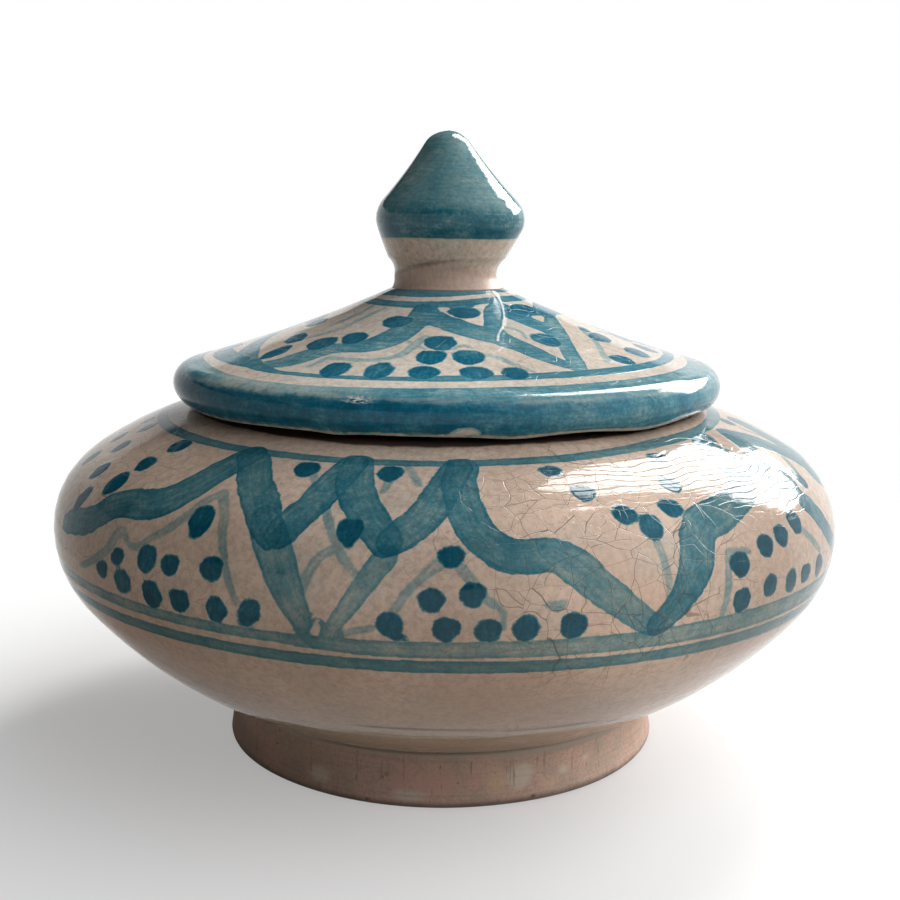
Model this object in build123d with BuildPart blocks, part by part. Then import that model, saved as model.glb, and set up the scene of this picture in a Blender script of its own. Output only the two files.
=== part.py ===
from build123d import *
import math
import os

os.makedirs("parts", exist_ok=True)

# A lidded bowl of wheel-thrown, painted and glazed pottery. Sizes are in millimetres, angles in
# degrees. The origin is the centre of the foot's base, on the surface that the jar stands on, and
# +Z is the axis of the potter's wheel, on which every piece was turned. Each outline is drawn as
# (radius, height) on the XZ plane and turned round that axis.

# Bowl: a squat belly, closed in above to a short upright lip that carries the lid
belly_radius = 90.0         # the widest point of the jar
belly_height = 53.0         # how high the widest point is
underside_round = 23.0      # the turn just below the widest point
underside_turn = 39.5       # its angle
shoulder_round = 19.5       # the turn just above the widest point
shoulder_turn = 58.0        # its angle
shoulder_rise = 27.0        # from the widest point up to where the shoulder runs into the lip
bowl_wall = 5.5
floor_thickness = 6.0
floor_radius = 43.0         # the flat inside at the bottom
mouth_radius = 50.0         # the bore of the lip
lip_wall = 4.0
lip_height = 3.0            # how far the lip stands above the shoulder
lip_round = 1.3             # both edges of the lip's top

# Foot: a ring luted to the bowl's flat bottom, turned to a slight waist
foot_height = 12.2
foot_top_radius = 51.0      # where it joins the bowl
foot_flare = 0.8            # how much wider the foot is at its base
foot_waist_depth = 0.5      # how far the waist is drawn in
foot_base_width = 8.0       # the ring on which the jar stands
foot_top_width = 9.5        # the face joined to the bowl
foot_base_round = 1.0
foot_seam_round = 0.5       # the crease between foot and bowl

# Lid: a shallow cone, hollow below, with a thick round rim that droops outside the lip
lid_rest_gap = 0.3          # between the lip's top and the lid's seat
rim_lip_clearance = 3.6     # between the lip's outside and the inside of the rim
rim_width = 5.5             # from the inside of the rim to its widest point
rim_rise = 2.0              # the rim's widest point above the lid's seat
rim_droop = 3.1             # the rim's lowest edge below the lid's seat
rim_bottom_width = 3.4      # from the inside of the rim to the outer end of its lowest edge
rim_bottom_flat = 2.2
rim_crest_width = 1.4       # from the inside of the rim to where it meets the lid's top
rim_crest_rise = 5.4        # that edge above the lid's seat
cone_rise = 16.6            # from the rim's crest up to the knob's seat
cone_sag = 0.9              # how far the top is hollowed below a straight cone
lid_wall = 6.5
hollow_step = 3.0           # the steep edge of the hollow, above the lid's seat
hollow_step_run = 1.6
hollow_round = 2.0
hollow_crown_radius = 12.0  # the flat middle of the hollow

# Flange: the ring under the lid that drops into the mouth and keeps the lid centred
flange_clearance = 1.2      # between the flange and the mouth, all round
flange_wall = 4.2
flange_depth = 8.3
flange_round = 1.2

# Knob: a pointed bulb on a drawn-in neck, thrown by itself and luted to the lid
knob_base_radius = 13.0
neck_radius = 11.9
neck_height = 2.4           # the narrowest place, above the knob's base
flare_radius = 13.6         # where the hollow neck runs into the straight flare
flare_height = 7.0
bulb_edge_radius = 18.3     # the bulb's edge before it is rounded
bulb_edge_height = 17.0
bulb_round = 6.2
flank_sag = 0.4             # how far the bulb's upper side is hollowed below a straight cone
point_radius = 5.2          # where the side ends and the rounded point starts
point_height = 33.0

# Heights and radii that follow from the sizes above
shoulder_height = belly_height + shoulder_rise
lip_radius = mouth_radius + lip_wall
lip_top = shoulder_height + lip_height
lid_seat = lip_top + lid_rest_gap
seat_radius = lip_radius + rim_lip_clearance
knob_seat = lid_seat + rim_crest_rise + cone_rise
flange_radius = mouth_radius - flange_clearance
flange_bore = flange_radius - flange_wall


def bowl_side(inset, foot_end, lip_end):
    """Draw one face of the bowl's side, this far inside the outer face, from the foot to the lip."""
    widest = (belly_radius - inset, belly_height)
    underside_bend = JernArc(widest, (0, -1), underside_round - inset, -underside_turn)
    shoulder_bend = JernArc(widest, (0, 1), shoulder_round - inset, shoulder_turn)
    TangentArc(underside_bend @ 1, foot_end, tangent=underside_bend % 1)
    TangentArc(shoulder_bend @ 1, lip_end, tangent=shoulder_bend % 1)


# Bowl
floor_height = foot_height + floor_thickness
with BuildPart() as bowl:
    with BuildSketch(Plane.XZ) as bowl_outline:
        with BuildLine():
            foot_edge = (foot_top_radius, foot_height)
            lip_foot = (lip_radius, shoulder_height)
            floor_edge = (floor_radius, floor_height)
            throat = (mouth_radius, shoulder_height - bowl_wall)
            bowl_side(0, foot_edge, lip_foot)
            bowl_side(bowl_wall, floor_edge, throat)
            Polyline(lip_foot, (lip_radius, lip_top), (mouth_radius, lip_top), throat)
            Polyline(floor_edge, (0, floor_height), (0, foot_height), foot_edge)
        make_face()
        lip_corners = bowl_outline.vertices().sort_by(Axis.Y)[-2:]
        fillet(lip_corners, lip_round)
    revolve(axis=Axis.Z)
bowl.part.label = "bowl"
export_step(bowl.part, "parts/bowl.step")

# Foot ring
foot_base_radius = foot_top_radius + foot_flare
with BuildPart() as foot_ring:
    with BuildSketch(Plane.XZ) as foot_outline:
        with BuildLine():
            base_outer = (foot_base_radius, 0)
            base_inner = (foot_base_radius - foot_base_width, 0)
            top_outer = (foot_top_radius, foot_height)
            top_inner = (foot_top_radius - foot_top_width, foot_height)
            SagittaArc(base_outer, top_outer, foot_waist_depth)
            Polyline(top_outer, top_inner, base_inner, base_outer)
        make_face()
        base_corners = foot_outline.vertices().group_by(Axis.Y)[0]
        fillet(base_corners, foot_base_round)
        seam_corner = foot_outline.vertices().sort_by_distance(top_outer)[0]
        fillet(seam_corner, foot_seam_round)
    revolve(axis=Axis.Z)
foot_ring.part.label = "foot_ring"
export_step(foot_ring.part, "parts/foot_ring.step")

# Lid
rim_bottom = lid_seat - rim_droop
rim_bottom_radius = seat_radius + rim_bottom_width
with BuildPart() as lid:
    with BuildSketch(Plane.XZ) as lid_outline:
        with BuildLine():
            rim_edge = (rim_bottom_radius, rim_bottom)
            rim_widest = (seat_radius + rim_width, lid_seat + rim_rise)
            crest = (seat_radius + rim_crest_width, lid_seat + rim_crest_rise)
            cone_top = (knob_base_radius, knob_seat)
            step_top = (flange_bore - hollow_step_run, lid_seat + hollow_step)
            crown_edge = (hollow_crown_radius, knob_seat - lid_wall)
            ThreePointArc(rim_edge, rim_widest, crest)
            SagittaArc(crest, cone_top, cone_sag)
            Polyline(cone_top, (0, knob_seat), (0, knob_seat - lid_wall), crown_edge)
            SagittaArc(step_top, crown_edge, cone_sag)
            Polyline(
                step_top,
                (flange_bore, lid_seat),
                (seat_radius, lid_seat),
                (rim_bottom_radius - rim_bottom_flat, rim_bottom),
                rim_edge,
            )
        make_face()
        step_corner = lid_outline.vertices().sort_by_distance(step_top)[0]
        fillet(step_corner, hollow_round)
    revolve(axis=Axis.Z)
lid.part.label = "lid"
export_step(lid.part, "parts/lid.step")

# Lid flange
with BuildPart() as lid_flange:
    with BuildSketch(Plane.XZ) as flange_outline:
        with BuildLine():
            Polyline(
                (flange_bore, lid_seat),
                (flange_radius, lid_seat),
                (flange_radius, lid_seat - flange_depth),
                (flange_bore, lid_seat - flange_depth),
                close=True,
            )
        make_face()
        lower_corners = flange_outline.vertices().group_by(Axis.Y)[0]
        fillet(lower_corners, flange_round)
    revolve(axis=Axis.Z)
lid_flange.part.label = "lid_flange"
export_step(lid_flange.part, "parts/lid_flange.step")

# Knob, whose rounded point follows on from the hollowed side and ends level on the axis
flank_rise = point_height - bulb_edge_height
flank_run = bulb_edge_radius - point_radius
flank_lean = 2 * math.atan2(2 * flank_sag, math.hypot(flank_rise, flank_run))
point_slope = math.atan2(flank_rise, flank_run) + flank_lean
point_rise = point_radius * math.tan(point_slope / 2)
with BuildPart() as knob:
    with BuildSketch(Plane.XZ) as knob_outline:
        with BuildLine():
            base_corner = (knob_base_radius, knob_seat)
            neck = (neck_radius, knob_seat + neck_height)
            flare_start = (flare_radius, knob_seat + flare_height)
            bulb_edge = (bulb_edge_radius, knob_seat + bulb_edge_height)
            point_start = (point_radius, knob_seat + point_height)
            tip = (0, knob_seat + point_height + point_rise)
            ThreePointArc(base_corner, neck, flare_start)
            Line(flare_start, bulb_edge)
            flank = SagittaArc(bulb_edge, point_start, flank_sag)
            TangentArc(point_start, tip, tangent=flank % 1)
            Polyline(tip, (0, knob_seat), base_corner)
        make_face()
        bulb_corner = knob_outline.vertices().sort_by(Axis.X)[-1]
        fillet(bulb_corner, bulb_round)
    revolve(axis=Axis.Z)
knob.part.label = "knob"
export_step(knob.part, "parts/knob.step")
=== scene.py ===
import math

import bpy
import numpy as np
from mathutils import Euler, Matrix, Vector


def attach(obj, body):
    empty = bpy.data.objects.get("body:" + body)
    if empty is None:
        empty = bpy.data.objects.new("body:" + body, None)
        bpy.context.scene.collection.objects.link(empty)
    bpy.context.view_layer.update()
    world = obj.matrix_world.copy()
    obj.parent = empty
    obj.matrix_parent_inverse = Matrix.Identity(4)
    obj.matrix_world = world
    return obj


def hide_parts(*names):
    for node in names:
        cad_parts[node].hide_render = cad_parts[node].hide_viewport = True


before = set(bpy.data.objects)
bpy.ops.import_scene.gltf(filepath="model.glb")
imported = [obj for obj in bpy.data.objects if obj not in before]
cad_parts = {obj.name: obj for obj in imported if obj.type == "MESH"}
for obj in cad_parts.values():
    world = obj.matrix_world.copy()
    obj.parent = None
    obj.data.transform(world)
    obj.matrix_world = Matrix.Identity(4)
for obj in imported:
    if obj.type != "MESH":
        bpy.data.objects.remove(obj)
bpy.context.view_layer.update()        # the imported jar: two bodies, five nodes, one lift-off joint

# Bowl. Red earthenware thrown on the wheel as one squat, closed-in bowl with an upright lip,
# dipped in a cream glaze and brushed with blue-green colour: a ring above, a ring below, and
# between them wide zigzag strokes, thin outlines and rows of dabs. The glaze has crazed.
MM = 0.001                  # all sizes are in millimetres until the mesh is made
belly_radius = 90.0
belly_height = 53.0
underside_round = 23.0      # the turn just below the widest point, and its angle
underside_turn = 39.5
shoulder_round = 19.5       # the turn just above it, and its angle
shoulder_turn = 58.0
bowl_wall = 5.5
mouth_radius = 50.0
lip_radius = 54.0
shoulder_height = 80.0
lip_top = 83.0
lip_round = 1.3
foot_top_radius = 51.0
foot_height = 12.2
bowl_floor_radius = 43.0
bowl_floor_height = 18.2
steps_round_bowl = 650


def bend(start, heading, radius, turn):
    """Points of a bend that leaves start along heading and turns left by this many degrees."""
    side = 1j * heading * math.copysign(1, turn)
    turned = np.exp(1j * np.radians(np.linspace(0, turn, 24)))
    centre = start + side * radius
    return centre + (start - centre) * turned, heading * turned[-1]


def run_on(start, heading, end):
    """Points of the one arc that leaves start along heading and arrives at end."""
    lean = np.angle((end - start) / heading)
    centre = start + 1j * heading * abs(end - start) / (2 * math.sin(lean))
    return centre + (start - centre) * np.exp(2j * lean * np.linspace(0, 1, 60))


def sagged(start, end, sag):
    """Points of a shallow arc from start to end that lies this far to the left of the chord."""
    chord = end - start
    lean = 2 * math.atan2(2 * sag, abs(chord))
    return run_on(start, chord / abs(chord) * np.exp(1j * lean), end)


def rounded(corner, before, after, radius):
    """Points of the small round that takes the place of a square corner."""
    arriving = (corner - before) / abs(corner - before)
    leaving = (after - corner) / abs(after - corner)
    turn = np.angle(leaving / arriving)
    start = corner - arriving * radius * abs(math.tan(turn / 2))
    return bend(start, arriving, radius, math.degrees(turn))[0][::4]


def evenly(points, step):
    """The same outline with its points this far apart."""
    length = np.concatenate([[0], np.cumsum(np.abs(np.diff(points)))])
    wanted = np.linspace(0, length[-1], max(2, round(length[-1] / step) + 1))
    return np.interp(wanted, length, points.real) + 1j * np.interp(wanted, length, points.imag)


def straight(start, end, step):
    """Points of a straight stretch, this far apart."""
    return evenly(np.array([start, end]), step)


def joined(*stretches):
    """One outline from stretches that follow each other, without doubled points."""
    line = np.concatenate(stretches)
    return line[np.concatenate([[True], np.abs(np.diff(line)) > 1e-4])]


def placed(name, data):
    """A new object in the scene."""
    thing = bpy.data.objects.new(name, data)
    bpy.context.scene.collection.objects.link(thing)
    return thing


def turned(name, outline, steps, settle):
    """Turn an outline (radius + height j, from axis to axis or closed) round the wheel's axis."""
    closed = outline[0].real > 1e-6
    angle = np.radians(np.arange(steps) * 360.0 / steps)
    ring = outline if closed else outline[1:-1]
    wall, around = np.meshgrid(ring, angle, indexing="ij")
    radius, height = settle(wall.real, wall.imag, np.degrees(around))
    corners = np.stack([radius * np.sin(around), -radius * np.cos(around), height], -1)
    corners = corners.reshape(-1, 3)
    rows = len(ring)
    here = np.arange(steps)
    following = (here + 1) % steps
    faces = []
    for row in range(rows if closed else rows - 1):
        below, above = row * steps, (row + 1) % rows * steps
        faces += np.stack([below + here, below + following, above + following, above + here], -1).tolist()
    if not closed:
        ends = [[0, 0, outline[0].imag], [0, 0, outline[-1].imag]]
        corners = np.concatenate([corners, ends])
        first, last = rows * steps, rows * steps + 1
        top = (rows - 1) * steps
        faces += [[first, b, a] for a, b in zip(here.tolist(), following.tolist())]
        faces += [[last, top + a, top + b] for a, b in zip(here.tolist(), following.tolist())]
    mesh = bpy.data.meshes.new(name)
    mesh.from_pydata((corners * MM).tolist(), [], faces)
    mesh.shade_smooth()
    return placed(name, mesh)


# Places on a turned wall are given as the potter would mark them out: an angle round the wheel, in
# degrees, 0 at the front and rising to the right, and a height along the wall, in millimetres.
mark_reach = 7.0            # how far from a mark its edge is worked out
out_of_reach = 9.0          # stands for the distance to any mark further off
streak_shift = 13.0         # from one mark to the next, so that each has its own brush streaks


def rest_places(piece, outline, steps, zero):
    """Each corner's angle, height along the wall (0 at the outline's point zero) and radius."""
    closed = outline[0].real > 1e-6
    length = np.concatenate([[0], np.cumsum(np.abs(np.diff(outline)))])
    length = length - length[np.argmin(np.abs(outline - zero))]
    ring = slice(None) if closed else slice(1, -1)
    angle = np.arange(steps) * 360.0 / steps
    angle = np.where(angle > 180, angle - 360, angle)
    along, around = np.meshgrid(length[ring], angle, indexing="ij")
    radius = np.broadcast_to(outline[ring].real[:, None], along.shape)
    ends = [] if closed else [length[0], length[-1]]
    pad = np.zeros(len(ends))
    return (np.concatenate([around.ravel(), pad]), np.concatenate([along.ravel(), ends]),
            np.concatenate([radius.ravel(), pad + 1.0]))


def store(piece, name, *rows):
    """Keep three numbers on each corner of a piece, for its material."""
    stored = piece.data.attributes.new(name, "FLOAT_VECTOR", "POINT")
    stored.data.foreach_set("vector", np.stack(rows, -1).astype(np.float32).ravel())


def mark_rows(piece, places):
    """Store each corner's place with its height along the wall, which the throwing ridges follow."""
    angle, along, radius = places
    turn = np.radians(angle)
    store(piece, "wall_place", radius * np.sin(turn), -radius * np.cos(turn), along)


def curve_through(points):
    """A smooth line through rows of numbers, six steps from one row to the next."""
    points = np.array(points, float)
    ends = np.concatenate([[2 * points[0] - points[1]], points, [2 * points[-1] - points[-2]]])
    pieces = []
    for a, b, c, d in zip(ends, ends[1:], ends[2:], ends[3:]):
        t = np.linspace(0, 1, 6, endpoint=False)[:, None]
        pieces.append(0.5 * (2 * b + (c - a) * t + (2 * a - 5 * b + 4 * c - d) * t ** 2
                             + (3 * b - a - 3 * c + d) * t ** 3))
    return np.concatenate(pieces + [points[-1:]])


def near_line(places, line, reach):
    """The corners within reach of a line of (angle, height) rows, and both of them laid flat."""
    angle, along, radius = places
    middle = (line[:, 0].min() + line[:, 0].max()) / 2
    off = (angle - middle + 180) % 360 - 180
    near = (along > line[:, 1].min() - reach) & (along < line[:, 1].max() + reach)
    near &= (np.abs(off) - (line[:, 0].max() - middle)) * np.radians(radius) < reach
    here = np.flatnonzero(near)
    scale = np.radians(radius[here])
    points = (line[:, 0] - middle)[None] * scale[:, None] + 1j * line[:, 1][None]
    return here, off[here] * scale + 1j * along[here], points


def stroke_gap(places, stroke):
    """The gap from each near corner to a stroke's edge, and its place across and along it."""
    line = curve_through(stroke)
    here, corner, points = near_line(places, line, mark_reach)
    step = np.diff(points)
    shift = corner[:, None] - points[:, :-1]
    share = np.clip((shift / step).real, 0, 1)
    width = line[:-1, 2] + share * np.diff(line[:, 2])
    gap = np.abs(shift - share * step) - width / 2
    best = gap.argmin(1)
    row = np.arange(len(here))
    aside = (shift / step * np.abs(step)).imag[row, best]
    onward = np.concatenate([[0], np.cumsum(np.abs(step).mean(0))])[best]
    return here, gap[row, best], aside, onward + share[row, best] * np.abs(step)[row, best]


def area_gap(places, outline):
    """The gap from each near corner to the edge of an area, less than zero inside it."""
    line = np.array(outline, float)
    ahead = np.roll(line, -1, 0)
    line = np.stack([0.75 * line + 0.25 * ahead, 0.25 * line + 0.75 * ahead], 1).reshape(-1, 2)
    here, corner, points = near_line(places, np.concatenate([line, line[:1]]), mark_reach)
    step = np.diff(points)
    shift = corner[:, None] - points[:, :-1]
    share = np.clip((shift / step).real, 0, 1)
    gap = np.abs(shift - share * step).min(1)
    low, high = points[:, :-1], points[:, 1:]
    level = corner.imag[:, None]
    passes = (low.imag > level) != (high.imag > level)
    rise = np.where(passes, high.imag - low.imag, 1.0)
    met = low.real + (level - low.imag) / rise * (high.real - low.real)
    inside = (passes & (met > corner.real[:, None])).sum(1) % 2 == 1
    return here, np.where(inside, -gap, gap), corner.imag, corner.real


def brush(piece, layer, places, strokes=(), dabs=(), areas=(), bare=(), rings=()):
    """Lay one layer of colour on a piece: how far each corner lies from its edge, in mm (negative
    inside), and its place across and along the mark that is nearest to it. A stroke is a list of
    (angle, height, width), a dab is (angle, height, width, height, lean), an area or a bare patch
    in it is a closed line of (angle, height), and a ring is a stroke right round the piece."""
    angle, along, radius = places
    edge = np.full(len(angle), out_of_reach)
    across = np.zeros(len(angle))
    down = np.zeros(len(angle))

    def lay(number, here, gap, aside, onward):
        won = gap < edge[here]
        edge[here[won]] = gap[won]
        across[here[won]] = aside[won] + streak_shift * number
        down[here[won]] = onward[won]

    for number, stroke in enumerate(strokes):
        lay(number, *stroke_gap(places, stroke))
    for number, area in enumerate(areas):
        lay(number, *area_gap(places, area))
    everywhere = np.arange(len(angle))
    for number, ring in enumerate(rings):
        rows = np.array(ring)
        middle = np.interp(angle, rows[:, 0], rows[:, 1], period=360)
        width = np.interp(angle, rows[:, 0], rows[:, 2], period=360)
        aside = along - middle
        lay(number, everywhere, np.abs(aside) - width / 2, aside, np.radians(angle) * radius)
    for number, (dab_angle, dab_height, wide, tall, lean) in enumerate(dabs):
        off = ((angle - dab_angle + 180) % 360 - 180) * np.radians(radius)
        place = (off + 1j * (along - dab_height)) * np.exp(-1j * math.radians(lean))
        narrowed = 1 + 0.22 * np.clip(place.imag / tall, -0.6, 0.6)
        round_part = np.hypot(place.real / narrowed / wide, place.imag / tall) * 2
        lay(number, everywhere, (round_part - 1) * np.minimum(wide, tall) / 2, place.real, place.imag)
    for patch in bare:
        here, gap, aside, onward = area_gap(places, patch)
        edge[here] = np.maximum(edge[here], -gap)
    store(piece, layer, edge, across, down)


def shaken(marks, turn, keep_from, shake, squeeze=1.0):
    """The same marks further round the piece, from this angle on, as the hand repeats them."""
    repeated = []
    for mark in marks:
        if min(row[0] for row in mark) >= keep_from:
            lift = shake.uniform(-0.5, 0.5)
            sway = shake.uniform(-0.7, 0.7)
            repeated.append([(row[0] * squeeze + turn + sway + shake.uniform(-0.4, 0.4),
                              row[1] + lift + shake.uniform(-0.3, 0.3),
                              *(width * shake.uniform(0.92, 1.08) for width in row[2:])) for row in mark])
    return repeated


def shaken_dabs(dabs, turn, keep_from, shake, squeeze=1.0):
    """The same dabs further round the piece, each a little different."""
    return [(a * squeeze + turn + shake.uniform(-0.8, 0.8), h + shake.uniform(-0.6, 0.6),
             w * shake.uniform(0.9, 1.12), t * shake.uniform(0.9, 1.12), lean + shake.uniform(-15, 15))
            for a, h, w, t, lean in dabs if a >= keep_from]


# The bowl's outline, from the middle of its base up the outside, over the lip and down inside
def bowl_side(inset, foot_end, lip_end):
    """One face of the side, this far inside the outer face, from the foot up to the lip."""
    widest = belly_radius - inset + 1j * belly_height
    lower, lower_heading = bend(widest, -1j, underside_round - inset, -underside_turn)
    upper, upper_heading = bend(widest, 1j, shoulder_round - inset, shoulder_turn)
    lower = np.concatenate([lower, run_on(lower[-1], lower_heading, foot_end)])
    return joined(lower[::-1], upper, run_on(upper[-1], upper_heading, lip_end))


foot_edge = foot_top_radius + 1j * foot_height
lip_foot = lip_radius + 1j * shoulder_height
throat = mouth_radius + 1j * (shoulder_height - bowl_wall)
lip_outer = lip_radius + 1j * lip_top
lip_inner = mouth_radius + 1j * lip_top
floor_edge = bowl_floor_radius + 1j * bowl_floor_height
outside = bowl_side(0, foot_edge, lip_foot)
inside = bowl_side(bowl_wall, floor_edge, throat)[::-1]
widest = belly_radius + 1j * belly_height
length = np.cumsum(np.abs(np.diff(outside, prepend=outside[0])))
length = length - length[np.argmin(np.abs(outside - widest))]
painted_from = -13.0        # below this height along the wall the mesh is coarser
lip = joined(rounded(lip_outer, lip_foot, lip_inner, lip_round),
             rounded(lip_inner, lip_outer, throat, lip_round))

# Each stretch with the step between its rows of corners, which is finest where it is painted
bowl_outline = joined(
    straight(1j * foot_height, foot_edge, 12.0),
    evenly(outside[length < painted_from], 2.0),
    evenly(outside[length >= painted_from], 0.78),
    evenly(np.array([lip_foot, lip[0]]), 1.0),
    lip,
    evenly(joined(np.array([lip[-1]]), inside), 6.0),
    straight(floor_edge, 1j * bowl_floor_height, 12.0),
)


def bowl_settles(radius, height, angle):
    """The hand-thrown bowl is a little uneven: it leans in by up to half a millimetre."""
    turn = np.radians(angle)
    sunk = 0.25 + 0.12 * np.sin(2 * turn + 0.8) + 0.1 * np.sin(3 * turn + height * 0.05)
    left_shoulder = np.exp(-((angle - 285) / 24) ** 2 - ((height - 72) / 7) ** 2)
    ridge = 0.03 * np.sin(height * 1.9 + 0.8 * turn) * np.clip((height - 14) / 6, 0, 1)
    weight = np.clip((radius - foot_top_radius) / 8, 0, 1)
    return radius - weight * (sunk + ridge + 0.9 * left_shoulder), height


bowl = turned("painted_bowl", bowl_outline, steps_round_bowl, bowl_settles)
bowl_places = rest_places(bowl, bowl_outline, steps_round_bowl, widest)
mark_rows(bowl, bowl_places)

# The rings that the potter drew with the wheel turning
upper_ring = [
    (-183, 39.4, 2.6), (-150, 37.4, 2.5), (-110, 36.2, 2.6), (-80, 35.7, 2.6), (-64, 35.4, 2.7),
    (-40, 34.8, 2.3), (-15, 34.5, 2.1), (0, 34.7, 2.1), (10, 35.3, 2.4), (20, 35.8, 2.6),
    (30, 36.8, 2.7), (40, 37.9, 3.2), (50, 38.6, 3), (60, 39.1, 2.8), (70, 39.7, 3), (80, 40.1, 3),
    (110, 40.4, 2.8), (150, 40.1, 2.6), (177, 39.4, 2.6),
]
lower_ring = [
    (-181, -9.8, 2.7), (-120, -9.4, 2.6), (-64, -9.1, 2.5), (-50, -9, 2.5), (-30, -8.9, 2.5),
    (-10, -9.3, 2.7), (0, -9.4, 2.8), (12, -9.6, 2.8), (22, -9.8, 2.5), (40, -10.1, 2.9),
    (60, -10.6, 3), (80, -10.8, 2.9), (120, -10.6, 2.8), (179, -9.8, 2.7),
]
pale_ring = [
    (-181, -5.8, 3.2), (-120, -5.2, 2.6), (-64, -4.9, 2.4), (-44, -4.9, 2.3), (-20, -5.2, 2.2),
    (-9, -5.7, 3.2), (5, -5.7, 3.4), (20, -5.8, 3.6), (40, -5.9, 4), (60, -6.1, 3.9), (90, -6.4, 3.9),
    (140, -6, 3.5), (179, -5.8, 3.2),
]

# The wide strokes: every other one goes on a second time over its neighbour and shows darker
first_strokes = [
    [(-62.5, 5.3, 3.6), (-60, 6.2, 5.4), (-57, 7.2, 5.7), (-53.5, 8.6, 6.3), (-50.5, 11.9, 7.2),
     (-47.5, 14.2, 6.8), (-44, 15.1, 7.1), (-40.5, 16.4, 8), (-38, 20, 8.4), (-36.2, 25, 7.9),
     (-34.6, 30, 7.3), (-33.6, 33, 6.8)],
    [(-20.2, 13.8, 6.4), (-19, 17, 6.8), (-17.6, 20.5, 6.7), (-16.6, 25, 7.2), (-15.6, 29.5, 6.8),
     (-14.8, 33.5, 6.2)],
    [(-6.3, 13.6, 5.6), (-4.9, 15.6, 6.6), (-3, 18.5, 6.9), (-1.6, 22, 7), (-0.4, 26, 6.8),
     (0.8, 30, 6.4), (1.8, 33.5, 6)],
]
second_strokes = [
    [(-33.4, 33.3, 6.2), (-30.9, 30.3, 6.8), (-28, 25, 7), (-25.1, 20.5, 7.2), (-22.6, 15.4, 6.6),
     (-21.4, 12.6, 4.6)],
    [(-14, 33.5, 6.4), (-13.6, 30, 7.2), (-12.4, 25, 7.3), (-10.2, 20, 6.9), (-8.6, 16.5, 6.8),
     (-7, 13.6, 6.2)],
    [(2.6, 33.5, 6.2), (1.9, 29, 6.7), (2.1, 25, 6.9), (2.9, 19, 7.1), (4.5, 14.6, 6.8), (7, 11.6, 6.7),
     (10, 11, 6.5), (12.6, 11.1, 6.3), (15, 9, 7), (17.5, 5.4, 6.5), (20.3, 1.8, 5.6), (23, -1.6, 5),
     (25, -3.2, 4.4)],
]
right_first = [
    [(25.2, -3.2, 4.6), (27.4, -0.6, 5.3), (29.4, 3, 6.4), (31.2, 7, 7.8), (32.2, 11, 8),
     (34, 14.1, 7.6), (37, 15.3, 7.8), (41, 16.9, 6.6), (45, 18.6, 6), (48, 22, 6.8), (50, 27, 7.2),
     (52, 33.5, 6.8)],
    [(58.9, 13, 5.8), (58.8, 16, 7), (59.6, 20, 7.2), (61.3, 24, 7.2), (62.4, 29, 7), (64.5, 34, 6.3)],
    [(74, 15, 6.2), (77, 20, 7), (79, 25, 7), (81, 33.5, 6.3)],
]
right_second = [
    [(52, 33.5, 6), (53.5, 29, 6.3), (55, 24, 6.3), (57, 18.5, 6.3), (59, 13.5, 6.3), (61.2, 9.3, 5.9),
     (63.8, 5, 5.2), (67, 1, 4.5), (70.5, -2.6, 4)],
    [(65.5, 33.5, 6.6), (67.5, 31, 7), (71, 27.5, 7.2), (73.4, 22.5, 7), (75, 17, 6.4), (75.5, 13, 5)],
]
# The arms of the lattice, laid on thinly below the wide strokes, and where they end in a pool
thin_strokes = [
    [(-6.8, 10.8, 4.6), (-8.3, 7.5, 4.2), (-9.8, 4, 3.8), (-11.2, 0.8, 3.2), (-12.6, -2.2, 2.8),
     (-13.3, -5, 2.2)],
    [(-23.4, 17.2, 5), (-21.9, 13.8, 6.8), (-20.2, 10, 7), (-18.4, 5, 6.4), (-16.9, 0.6, 5),
     (-16, -2, 3.6)],
]
loops = [
    [(-14.9, -0.2, 0.9), (-16.1, -0.9, 1), (-16.8, -2.8, 1.1), (-16, -4.8, 1.2), (-14.8, -5.6, 1.3),
     (-13.8, -4.6, 1.2), (-13.5, -2.6, 1), (-14.2, -0.6, 0.9)],
    [(-12.6, -1.6, 0.9), (-13.6, -2.6, 1), (-13.6, -4.2, 1.1), (-12.7, -5.2, 1.2), (-11.7, -4.2, 1),
     (-11.7, -2.6, 0.9), (-12.4, -1.6, 0.9)],
    [(-15.8, -4.6, 2.2), (-14.6, -5.4, 2.4), (-12.8, -5.2, 2)],
]
thin_strokes = thin_strokes + loops

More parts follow.
